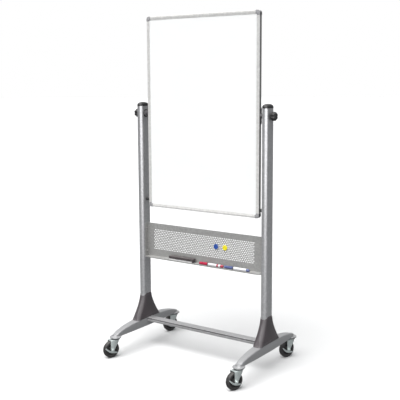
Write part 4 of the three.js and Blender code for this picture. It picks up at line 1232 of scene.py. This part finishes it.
def tray_shelf(low, high, sheet, bend):
    """Shelf with a rounded fold at the panel and a bead along its front."""
    shape = bmesh.new()
    fold_x = high.x - bend
    inner = bend - sheet
    centre = Vector((high.y - bend, low.z + bend))
    arc = []
    for radius, order in ((bend, 1), (inner, -1)):
        stretch = []
        for step in range(7):
            angle = -pi / 2 * step / 6
            stretch.append(Vector((centre.x + radius * cos(angle), centre.y + radius * sin(angle))))
        arc += stretch[::order]
    place = Matrix(((0, 0, 1), (1, 0, 0), (0, 1, 0))).to_4x4()
    place.translation = (-fold_x, 0, 0)
    add_prism(shape, arc, place, 2 * fold_x)
    corner = 22 * MM
    plan = outline([(low.x, low.y, corner), (high.x, low.y, corner), (high.x, high.y - bend, 0),
                    (low.x, high.y - bend, 0)], 12)
    add_prism(shape, plan, Matrix.Translation((0, 0, low.z)), sheet)
    path = outline([(low.x, high.y - bend, 0), (low.x, low.y, corner), (high.x, low.y, corner),
                    (high.x, high.y - bend, 0)], 12)
    add_bead(shape, path, low.z, sheet)
    return shape


def add_bead(shape, path, foot, sheet):
    """Rolled lip: a small upright wall with a rounded top that follows an open path, outer side first."""
    height = 6.4 * MM
    thick = sheet + 0.6 * MM
    section = outline([(0, 0, 0.8 * MM), (thick, 0, 0), (thick, height, 1 * MM), (0, height, 1 * MM)], 4)
    middle = sum((Vector(p) for p in path), Vector((0, 0))) / len(path)
    rings = []
    for index, point in enumerate(path):
        before = path[max(index - 1, 0)]
        after = path[min(index + 1, len(path) - 1)]
        along = (Vector(after) - Vector(before)).normalized()
        inward = Vector((-along.y, along.x))
        if inward.dot(middle - point) < 0:
            inward = -inward
        rings.append([Vector((point[0] + inward.x * p.x, point[1] + inward.y * p.x, foot + p.y)) for p in section])
    add_loft(shape, rings)


def tray_screws(low, high, sheet, paint):
    """Button screws that hold the flanges to the uprights."""
    shape = bmesh.new()
    for sign, end in ((-1, low.x), (1, high.x)):
        for height in (low.z + 30 * MM, high.z - 30 * MM):
            place = frame_at((end - sign * sheet, high.y - 15 * MM, height), X * -sign)
            add_lathe(shape, [(6.5 * MM, 0), (6.5 * MM, 0.8 * MM), (6.1 * MM, 1 * MM)], place, 32)
            add_button_screw(shape, place @ Matrix.Translation((0, 0, 1 * MM)), 4.8 * MM, 2.8 * MM)
    finish_piece("tray_flange_screws", to_mesh("screws", shape), [paint], "stand")


# ---------------------------------------------------------------- casters

class CasterShape:
    """Sizes of one caster, measured in its own frame: stem on Z, axle along X, wheel at -Y."""

    def __init__(self, corner):
        self.corner = corner
        low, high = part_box(f"caster_head_{corner}")
        stem = (low + high) / 2
        joint = next(j for j in frame["joints"] if j["name"] == f"wheel_spin_{corner}")
        self.place = frame_at((stem.x, stem.y, 0), Z, joint["axis"])
        self.head = box_in(self.place, f"caster_head_{corner}")
        self.fork = box_in(self.place, f"caster_fork_{corner}")
        self.wheel = box_in(self.place, f"caster_wheel_{corner}")
        self.brake = box_in(self.place, f"caster_brake_{corner}")
        self.axle = box_in(self.place, f"caster_axle_{corner}")
        self.hub = (self.wheel[0] + self.wheel[1]) / 2
        self.radius = self.hub.z


def casters(settings):
    """Heads, forks, axles, wheels and brake levers, shaped once and placed four times."""
    zinc = zinc_plate("Zinc plate casters", settings.zinc)
    dark = zinc_plate("Dark zinc races", (0.09, 0.09, 0.095), 0.5, 0.36)
    tyre = rubber_finish("Tyre rubber", settings.tyre)
    hub = moulded_plastic("Hub plastic", settings.hub, 0.44, 1100.0, 0.25, 0.3, 0.2)
    form = CasterShape(CORNERS[0])
    models = [
        ("race", race_mesh(form), [dark, zinc], "stand", "dark_steel", "head", 0.0),
        ("fork_stamping", fork_mesh(form), [zinc], "fork_{}", "zinc_steel", "fork", 0.5 * MM),
        ("axle_bolt", axle_mesh(form), [zinc], "fork_{}", "zinc_steel", "axle", 0.0),
        ("tyre", tyre_mesh(form), [tyre], "wheel_{}", "rubber", "wheel", 0.0),
        ("hub", hub_mesh(form), [hub, dark], "wheel_{}", "rubber", None, 0.3 * MM),
        ("brake_lever", brake_mesh(form), [zinc], "brake_{}", "zinc_steel", "brake", 0.5 * MM),
    ]
    for corner in CORNERS:
        place = CasterShape(corner).place
        for name, model, finishes, body, slot, part, edge in models:
            data = model.copy()
            data.transform(place)
            nodes = [f"caster_{part}_{corner}"] if part else []
            finish_piece(f"caster_{name}_{corner}", data, finishes, body.format(corner), nodes, edge)


def race_mesh(form):
    """Ball race with a dark seal between two turned cups, its kingpin and its stem."""
    low, high = form.head
    rim = high.x
    crown = form.fork[1].z
    foot = crown + 0.3 * MM
    top = foot + 6.5 * MM
    profile = [
        (8.6 * MM, low.z), (9 * MM, low.z + 0.4 * MM), (9 * MM, low.z + 1.8 * MM), (6 * MM, low.z + 1.8 * MM),
        (6 * MM, foot), (rim - 3 * MM, foot), (rim - 2.4 * MM, foot + 0.4 * MM), (rim - 2.4 * MM, foot + 2 * MM),
        (rim - 0.8 * MM, foot + 2.2 * MM), (rim, foot + 2.8 * MM), (rim, foot + 4.4 * MM),
        (rim - 0.9 * MM, foot + 5.6 * MM),
        (rim - 3 * MM, top), (5.5 * MM, top), (5.5 * MM, high.z - 1 * MM), (4.5 * MM, high.z),
    ]
    shape = bmesh.new()
    add_lathe(shape, profile, Matrix.Identity(4), 56)
    return to_mesh("race", shape)


def fork_mesh(form):
    """Bent stamping: a channel section kept inside the tapered outline of its sides, with a domed crown."""
    low, high = form.fork
    outer = high.x
    # The crown is wider than the channel, which stays just clear of the brake's end
    channel = form.brake[0].x - 0.3 * MM
    plate = 2.5 * MM
    top = high.z
    eye = form.hub
    eye_radius = eye.z - low.z
    section = outline([
        (-channel, low.z - 5 * MM, 0), (-channel, top, 4 * MM), (channel, top, 4 * MM), (channel, low.z - 5 * MM, 0),
        (channel - plate, low.z - 5 * MM, 0), (channel - plate, top - 3 * MM, 1.5 * MM),
        (-channel + plate, top - 3 * MM, 1.5 * MM), (-channel + plate, low.z - 5 * MM, 0),
    ], 6)
    shape = bmesh.new()
    add_prism(shape, section, frame_at((0, -70 * MM, 0), Y, -X), 110 * MM)
    data = to_mesh("fork", shape)
    trailing = eye.y - 10 * MM
    leading = 8 * MM
    side = [Vector((trailing + 1 * MM, top + 2 * MM)), Vector((trailing, top - 4 * MM))]
    for step in range(13):
        angle = pi + pi * 0.92 * step / 12
        side.append(Vector((eye.y + eye_radius * cos(angle), eye.z + eye_radius * sin(angle))))
    side += [Vector((leading, top - 12 * MM)), Vector((leading + 1 * MM, top + 2 * MM))]
    keep = bmesh.new()
    across = Matrix(((0, 0, 1), (1, 0, 0), (0, 1, 0))).to_4x4()
    across.translation = (-30 * MM, 0, 0)
    add_prism(keep, side, across, 60 * MM)
    data = combine(data, keep, "INTERSECT")
    crown = bmesh.new()
    rim = outer
    add_lathe(crown, [(rim - 1 * MM, top - 3 * MM), (rim, top - 2.4 * MM), (rim, top - 1 * MM), (rim - 1 * MM, top)],
              Matrix.Identity(4), 56)
    data = combine(data, crown, "UNION")
    holes = bmesh.new()
    add_lathe(holes, [(6.5 * MM, top - 12 * MM), (6.5 * MM, top + 5 * MM)], Matrix.Identity(4), 32)
    data = combine(data, holes, "DIFFERENCE")
    return data


def axle_mesh(form):
    """Bolt with a six-sided head, a washer at each end and a nut."""
    low, high = form.axle
    place = frame_at((0, form.hub.y, form.hub.z), X, Y)
    shaft = 3.9 * MM
    shape = bmesh.new()
    add_lathe(shape, [(shaft, low.x + 1 * MM), (shaft, high.x - 1 * MM)], place, 24)
    for direction, end in ((-1, low.x), (1, high.x)):
        inner = end - direction * 2.5 * MM
        seat = frame_at((inner, form.hub.y, form.hub.z), X * direction, Y)
        add_lathe(shape, [(6.5 * MM, 0), (6.5 * MM, 0.7 * MM), (6.2 * MM, 0.9 * MM)], seat, 32)
        add_hex_head(shape, seat @ Matrix.Translation((0, 0, 0.9 * MM)), 5.4 * MM, 3.6 * MM)
    return to_mesh("axle", shape)


def tyre_mesh(form):
    """Rounded tread with a stepped side wall."""
    place = frame_at((0, form.hub.y, form.hub.z), X, Y)
    radius = form.radius
    half = 13 * MM
    profile = []
    for step in range(13):
        angle = pi * (step / 12 - 0.5)
        profile.append((radius - 7 * MM + 7 * MM * abs(cos(angle)) ** 0.55, half * 0.985 * sin(angle)))
    inner = radius - 12.5 * MM
    right = [(radius - 8.6 * MM, half), (radius - 10.5 * MM, half - 0.2 * MM), (radius - 11 * MM, half - 1.2 * MM),
             (inner, half - 1.4 * MM)]
    left = [(r, -h) for r, h in reversed(right)]
    shape = bmesh.new()
    add_lathe(shape, left + profile + right, place, 80, True)
    return to_mesh("tyre", shape)


def hub_mesh(form):
    """Moulded hub: rim, dished web with ribs, and a steel bush on the axle."""
    place = frame_at((0, form.hub.y, form.hub.z), X, Y)
    rim = form.radius - 12.4 * MM
    half = 12.6 * MM
    web = 4 * MM
    boss = 14 * MM
    bush = form.wheel[1].x
    bore = 4.6 * MM
    profile = [
        (bore, -bush), (boss - 5 * MM, -bush), (boss - 4.4 * MM, -bush + 0.6 * MM), (boss - 4.4 * MM, -half),
        (boss - 1 * MM, -half + 0.4 * MM), (boss, -half + 2 * MM), (boss + 0.8 * MM, -web - 1 * MM),
        (boss + 2 * MM, -web), (rim - 4 * MM, -web), (rim - 2.6 * MM, -web - 1 * MM),
        (rim - 1.8 * MM, -half + 1 * MM), (rim, -half + 0.6 * MM),
    ]
    other = [(r, -h) for r, h in reversed(profile)]
    shape = bmesh.new()
    slots = [1, 1, 1] + [0] * 17 + [1, 1, 1, 1]
    add_lathe(shape, profile + other, place, 72, True, slots)
    for step in range(8):
        spin = place @ Matrix.Rotation(2 * pi * step / 8, 4, "Z")
        for face in (-1, 1):
            inner = boss - 0.5 * MM
            outer = rim - 2.4 * MM
            points = [(inner, -0.9 * MM), (outer, -0.9 * MM), (outer, 0.9 * MM), (inner, 0.9 * MM)]
            height = (half - 2.4 * MM - web) if face > 0 else -(half - 2.4 * MM - web)
            add_prism(shape, points, spin @ Matrix.Translation((0, 0, face * (web - 0.2 * MM))), height)
    return to_mesh("hub", shape)


def brake_mesh(form):
    """Stamped lever: a curved band round an eye, with a pressed rib and a folded toe."""
    low, high = form.brake
    thick = high.x - low.x
    hub = form.hub
    spine = [Vector(p) * MM for p in ((-43, 15.5), (-35, 7), (-26, -1), (-17, -6.5), (-8, -10), (1, -12.5),
                                      (11, -14.5), (20, -16.5), (29.5, -18.5))]
    widths = [2.2, 3.4, 4.2, 4.8, 5.2, 5.0, 4.4, 3.2, 1.6]
    across = Matrix(((0, 0, 1), (1, 0, 0), (0, 1, 0))).to_4x4()
    across.translation = (low.x, hub.y, hub.z)
    band = band_outline(spine, [w * MM for w in widths])
    eye = [Vector((10 * MM * cos(a), 10 * MM * sin(a))) for a in (2 * pi * i / 36 for i in range(36))]
    shape = bmesh.new()
    add_prism(shape, band, across, thick)
    disc = bmesh.new()
    add_prism(disc, eye, across, thick)
    data = combine(to_mesh("brake", shape), disc, "UNION")
    bore = bmesh.new()
    add_prism(bore, [p * 0.45 for p in eye], across @ Matrix.Translation((0, 0, -thick)), 3 * thick)
    data = combine(data, bore, "DIFFERENCE")
    rib = bmesh.new()
    ridge = across @ Matrix.Translation((0, 0, thick - 0.4 * MM))
    add_prism(rib, band_outline(spine[1:-1], [w * 0.36 * MM for w in widths[1:-1]]), ridge, 1.2 * MM)
    return combine(data, rib, "UNION")


def band_outline(spine, halves):
    """Outline of a band that follows a smooth line, with a half width at each of its points."""
    upper, lower = [], []
    for index, point in enumerate(spine):
        before = spine[max(index - 1, 0)]
        after = spine[min(index + 1, len(spine) - 1)]
        along = (after - before).normalized()
        side = Vector((-along.y, along.x)) * halves[index]
        upper.append(point + side)
        lower.append(point - side)
    return lower + upper[::-1]


# ---------------------------------------------------------------- eraser, markers and magnets

def tray_things(settings):
    """What lies on the shelf and holds on the panel."""
    eraser(settings)
    marker("red", gloss_plastic("Marker red", settings.red), settings, (0.60, 0.70))
    marker("blue", gloss_plastic("Marker blue", settings.blue), settings, (0.0, 0.0))
    magnet("blue", gloss_plastic("Magnet blue", settings.magnet_blue, 0.25))
    magnet("yellow", gloss_plastic("Magnet yellow", settings.yellow, 0.25))


def eraser(settings):
    """Moulded back with finger grooves over a block of layered felt."""
    shell = moulded_plastic("Eraser shell", settings.shell, 0.5, 900.0, 0.3)
    low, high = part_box("eraser_back")
    felt_low, felt_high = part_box("eraser_felt")
    cheek = felt_low.x - low.x - 0.3 * MM
    depth = high.y - low.y
    side = outline([
        (low.x, low.z, 1 * MM), (low.x + cheek, low.z, 0.6 * MM), (low.x + cheek, felt_high.z + 0.3 * MM, 0.4 * MM),
        (high.x - cheek, felt_high.z + 0.3 * MM, 0.4 * MM), (high.x - cheek, low.z, 0.6 * MM), (high.x, low.z, 1 * MM),
        (high.x, high.z, 4 * MM), (low.x, high.z, 4 * MM),
    ], 6)
    place = Matrix(((1, 0, 0), (0, 0, 1), (0, 1, 0))).to_4x4()
    place.translation = (0, low.y, 0)
    shape = bmesh.new()
    add_prism(shape, side, place, depth)
    data = to_mesh("back", shape)
    grooves = bmesh.new()
    for face in (low.y, high.y):
        for row in range(2):
            height = felt_high.z + (4 + 4.2 * row) * MM
            add_lathe(grooves, [(0.8 * MM, low.x + 14 * MM), (0.8 * MM, high.x - 14 * MM)],
                      frame_at((0, face, height), X, Y), 12)
    data = combine(data, grooves, "DIFFERENCE")
    plan = bmesh.new()
    add_prism(plan, rounded_rectangle((low.x, low.y), (high.x, high.y), 9 * MM, 8),
              Matrix.Translation((0, 0, low.z - 1 * MM)), high.z - low.z + 2 * MM)
    data = combine(data, plan, "INTERSECT")
    finish_piece("eraser_moulded_back", data, [shell], "eraser", ["eraser_back"], 0.8 * MM)
    block = bmesh.new()
    layers = 4
    for layer in range(layers):
        inset = 0.35 * MM * (layer % 2)
        foot = felt_low.z + (felt_high.z - felt_low.z) * layer / layers
        top = felt_low.z + (felt_high.z - felt_low.z) * (layer + 1) / layers
        near, far = (felt_low.x + inset, felt_low.y + inset), (felt_high.x - inset, felt_high.y - inset)
        plan = rounded_rectangle(near, far, 1.2 * MM)
        add_prism(block, plan, Matrix.Translation((0, 0, foot)), top - foot)
    felt = felt_finish("Wool felt", settings.felt)
    finish_piece("eraser_felt_block", to_mesh("felt", block), [felt], "eraser", ["eraser_felt"], 0.5 * MM)


def marker(name, colour, settings, band):
    """Capped marker: tapered cap, white barrel with a plain colour band, and an end plug."""
    barrel = bpy.data.materials.get("Marker barrel") or gloss_plastic("Marker barrel", settings.barrel, 0.3)
    dark = black_plastic()
    low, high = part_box(f"marker_{name}")
    radius = (high.y - low.y) / 2
    length = high.x - low.x
    centre = (low + high) / 2
    place = frame_at((low.x, centre.y, low.z + radius), X, Y)
    cap = 52 * MM
    body = radius - 1 * MM
    profile = [
        (radius - 5 * MM, 0, 0), (radius - 3 * MM, 0.3 * MM, 0), (radius - 1.6 * MM, 1.6 * MM, 0),
        (radius - 1.2 * MM, 6 * MM, 0), (radius - 0.4 * MM, cap - 8 * MM, 0), (radius, cap - 7 * MM, 0),
        (radius, cap - 0.5 * MM, 0), (radius - 0.5 * MM, cap, 2), (body - 0.6 * MM, cap, 2),
        (body - 0.6 * MM, cap + 4.2 * MM, 1), (body, cap + 4.6 * MM, 1),
    ]
    if band[1]:
        profile += [(body, cap + (length - cap) * band[0], 0), (body, cap + (length - cap) * band[1], 1)]
    profile += [
        (body, length - 15 * MM, 2), (body - 0.5 * MM, length - 14.8 * MM, 2), (body - 0.5 * MM, length - 14.2 * MM, 0),
        (body - 0.2 * MM, length - 14 * MM, 0), (body - 0.9 * MM, length - 2 * MM, 0),
        (body - 1.8 * MM, length - 0.5 * MM, 0), (body - 3.4 * MM, length, 0),
    ]
    shape = bmesh.new()
    add_lathe(shape, [(r, h) for r, h, _ in profile], place, 40, slots=[slot for _, _, slot in profile[:-1]])
    finish_piece(f"marker_{name}_body", to_mesh(name, shape), [colour, barrel, dark], f"marker_{name}",
                 [f"marker_{name}"])


def magnet(name, colour):
    """Round magnet: flared grip rim and a shallow dished face."""
    low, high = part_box(f"magnet_{name}")
    centre = (low + high) / 2
    place = frame_at((centre.x, high.y, centre.z), -Y, X)
    radius = (high.x - low.x) / 2
    tall = high.y - low.y
    profile = [
        (radius - 2 * MM, 0), (radius - 1.5 * MM, 0.5 * MM), (radius - 1.5 * MM, 2 * MM), (radius - 0.4 * MM, 3 * MM),
        (radius, tall - 2.4 * MM), (radius - 0.4 * MM, tall - 1 * MM), (radius - 1.6 * MM, tall - 0.1 * MM),
        (radius - 3.2 * MM, tall), (radius - 5 * MM, tall - 0.6 * MM), (radius * 0.3, tall - 0.9 * MM),
        (0.6 * MM, tall - 0.9 * MM),
    ]
    shape = bmesh.new()
    add_lathe(shape, profile, place, 56)
    finish_piece(f"magnet_{name}_button", to_mesh(name, shape), [colour], f"magnet_{name}",
                 [f"magnet_{name}"])


# ---------------------------------------------------------------- stage

def camera(settings):
    data = bpy.data.cameras.new("camera")
    view = new_object("camera", data)
    view.location = settings.camera_place
    aim = (
        Matrix.Rotation(settings.camera_turn, 3, "Z") @ Matrix.Rotation(pi / 2 - settings.camera_dip, 3, "X")
        @ Matrix.Rotation(settings.camera_roll, 3, "Z")
    )
    view.rotation_euler = aim.to_euler()
    data.lens = settings.lens
    data.shift_x = 0.00204
    data.shift_y = -0.03644
    bpy.context.scene.camera = view


def area_light(name, power, size, place, target):
    """Flat softbox that faces a target."""
    data = bpy.data.lights.new(name, "AREA")
    data.energy = power
    data.shape = "RECTANGLE"
    data.size, data.size_y = size
    lamp = new_object(name, data)
    lamp.location = place
    lamp.rotation_euler = (Vector(target) - Vector(place)).to_track_quat("-Z", "Y").to_euler()
    return lamp


def floor_sheet(settings):
    """Wide pale floor that eases down out of sight at its rim."""
    shape = bmesh.new()
    add_loft(shape, [circle(radius, height * MM, 96) for radius, height in
                     ((60.0, -40), (59.0, -6), (56.0, -0.5), (50.0, 0), (10.0, 0), (2.0, 0))])
    data = to_mesh("floor", shape)
    data.shade_smooth()
    floor = new_object("floor", data)
    floor.visible_glossy = False
    floor.visible_diffuse = False
    data.materials.append(stage_finish("Floor paper", settings.floor))


def world_light(settings):
    """Dim even light from all round, with a white surround behind the object."""
    world = bpy.data.worlds.new("studio")
    world.use_nodes = True
    tree = world.node_tree
    white = tree.nodes["Background"]
    white.inputs["Color"].default_value = (1.0, 1.0, 1.0, 1)
    white.inputs["Strength"].default_value = 1.0
    dim = node(tree, "ShaderNodeBackground", {"Color": (0.96, 0.98, 1.0, 1), "Strength": settings.surround})
    seen = node(tree, "ShaderNodeLightPath").outputs["Is Camera Ray"]
    both = node(tree, "ShaderNodeMixShader", {0: seen, 1: dim.outputs[0], 2: white.outputs[0]})
    tree.links.new(both.outputs[0], tree.nodes["World Output"].inputs["Surface"])
    bpy.context.scene.world = world


def soft_sun(name, strength, softness, toward):
    """Broad light from far away, from the direction given."""
    data = bpy.data.lights.new(name, "SUN")
    data.energy = strength
    data.angle = softness
    lamp = new_object(name, data)
    lamp.rotation_euler = Vector(toward).to_track_quat("Z", "Y").to_euler()
    return lamp


def keep_unlit(lamp, names):
    """Stops a light from reaching the named objects."""
    spared = bpy.data.collections.new(f"Out of reach of {lamp.name}")
    for name in names:
        spared.objects.link(bpy.data.objects[name])
    for entry in spared.collection_objects:
        entry.light_linking.link_state = "EXCLUDE"
    lamp.light_linking.receiver_collection = spared


def lights(settings):
    soft_sun("key", settings.key, radians(62), (-0.02, -0.46, 0.89))
    soft_sun("overhead", settings.overhead, radians(120), (0.0, 0.0, 1.0))
    strip = area_light("strip", settings.strip, (7.0, 3.8), (3.0, -3.5, 1.9), (0.0, 0.0, 1.7))
    strip.visible_diffuse = False
    rear = soft_sun("rear", settings.rear, radians(60), (-0.2, 0.95, 0.15))
    rear.visible_glossy = False
    keep_unlit(rear, ["floor"])
    keep_unlit(strip, [f"board_trim_{name}" for name in ("left", "right", "top", "bottom")])


# ---------------------------------------------------------------- operators

class WHITEBOARD_OT_board(bpy.types.Operator):
    """Build the writing faces, trims and corner caps"""
    bl_idname = "whiteboard.board"
    bl_label = "Board"

    def execute(self, context):
        settings = context.scene.whiteboard_board
        board_sheets_and_core(settings)
        trims(settings)
        corner_caps(settings)
        return {"FINISHED"}


class WHITEBOARD_OT_pivots(bpy.types.Operator):
    """Build the pivot plates, studs, washers and star knobs"""
    bl_idname = "whiteboard.pivots"
    bl_label = "Pivots and Knobs"

    def execute(self, context):
        pivot_parts(context.scene.whiteboard_stand)
        return {"FINISHED"}


class WHITEBOARD_OT_uprights(bpy.types.Operator):
    """Build the uprights with their caps and buffers"""
    bl_idname = "whiteboard.uprights"
    bl_label = "Uprights"

    def execute(self, context):
        uprights(context.scene.whiteboard_stand)
        return {"FINISHED"}


class WHITEBOARD_OT_base(bpy.types.Operator):
    """Build the legs, gussets and cross bar"""
    bl_idname = "whiteboard.base"
    bl_label = "Base"

    def execute(self, context):
        base(context.scene.whiteboard_stand)
        return {"FINISHED"}


class WHITEBOARD_OT_tray(bpy.types.Operator):
    """Build the perforated tray and its screws"""
    bl_idname = "whiteboard.tray"
    bl_label = "Tray"

    def execute(self, context):
        tray(context.scene.whiteboard_tray)
        return {"FINISHED"}


class WHITEBOARD_OT_casters(bpy.types.Operator):
    """Build the four casters"""
    bl_idname = "whiteboard.casters"
    bl_label = "Casters"

    def execute(self, context):
        casters(context.scene.whiteboard_casters)
        return {"FINISHED"}


class WHITEBOARD_OT_tray_things(bpy.types.Operator):
    """Build the eraser, markers and magnets"""
    bl_idname = "whiteboard.tray_things"
    bl_label = "Eraser, Markers and Magnets"

    def execute(self, context):
        tray_things(context.scene.whiteboard_things)
        return {"FINISHED"}


class WHITEBOARD_OT_stage(bpy.types.Operator):
    """Set up the camera, the lights and the pale floor"""
    bl_idname = "whiteboard.stage"
    bl_label = "Stage"

    def execute(self, context):
        settings = context.scene.whiteboard_stage
        camera(settings)
        floor_sheet(settings)
        world_light(settings)
        lights(settings)
        context.scene.view_settings.view_transform = "Standard"
        return {"FINISHED"}


OPERATORS = (
    WHITEBOARD_OT_stage, WHITEBOARD_OT_board, WHITEBOARD_OT_pivots, WHITEBOARD_OT_uprights,
    WHITEBOARD_OT_base, WHITEBOARD_OT_tray, WHITEBOARD_OT_casters, WHITEBOARD_OT_tray_things,
)


class WHITEBOARD_PT_panel(bpy.types.Panel):
    """Lists the builders of the whiteboard's pieces"""
    bl_idname = "WHITEBOARD_PT_panel"
    bl_label = "Rolling Whiteboard"
    bl_space_type = "VIEW_3D"
    bl_region_type = "UI"
    bl_category = "Whiteboard"

    def draw(self, context):
        for operator in OPERATORS:
            self.layout.operator(operator.bl_idname)
        for name, group in SETTINGS.items():
            box = self.layout.box()
            box.label(text=group.__doc__)
            for field in group.__annotations__:
                box.prop(getattr(context.scene, name), field)


def register():
    for group in SETTINGS.values():
        bpy.utils.register_class(group)
    for name, group in SETTINGS.items():
        setattr(bpy.types.Scene, name, PointerProperty(type=group))
    for operator in OPERATORS:
        bpy.utils.register_class(operator)
    bpy.utils.register_class(WHITEBOARD_PT_panel)


def unregister():
    bpy.utils.unregister_class(WHITEBOARD_PT_panel)
    for operator in reversed(OPERATORS):
        bpy.utils.unregister_class(operator)
    for name in SETTINGS:
        delattr(bpy.types.Scene, name)
    for group in reversed(list(SETTINGS.values())):
        bpy.utils.unregister_class(group)


def main():
    """Builds everything in order."""
    register()
    bpy.ops.whiteboard.board()
    bpy.ops.whiteboard.pivots()
    bpy.ops.whiteboard.uprights()
    bpy.ops.whiteboard.base()
    bpy.ops.whiteboard.tray()
    bpy.ops.whiteboard.casters()
    bpy.ops.whiteboard.tray_things()
    bpy.ops.whiteboard.stage()
    bpy.context.view_layer.update()


if __name__ == "__main__":
    main()
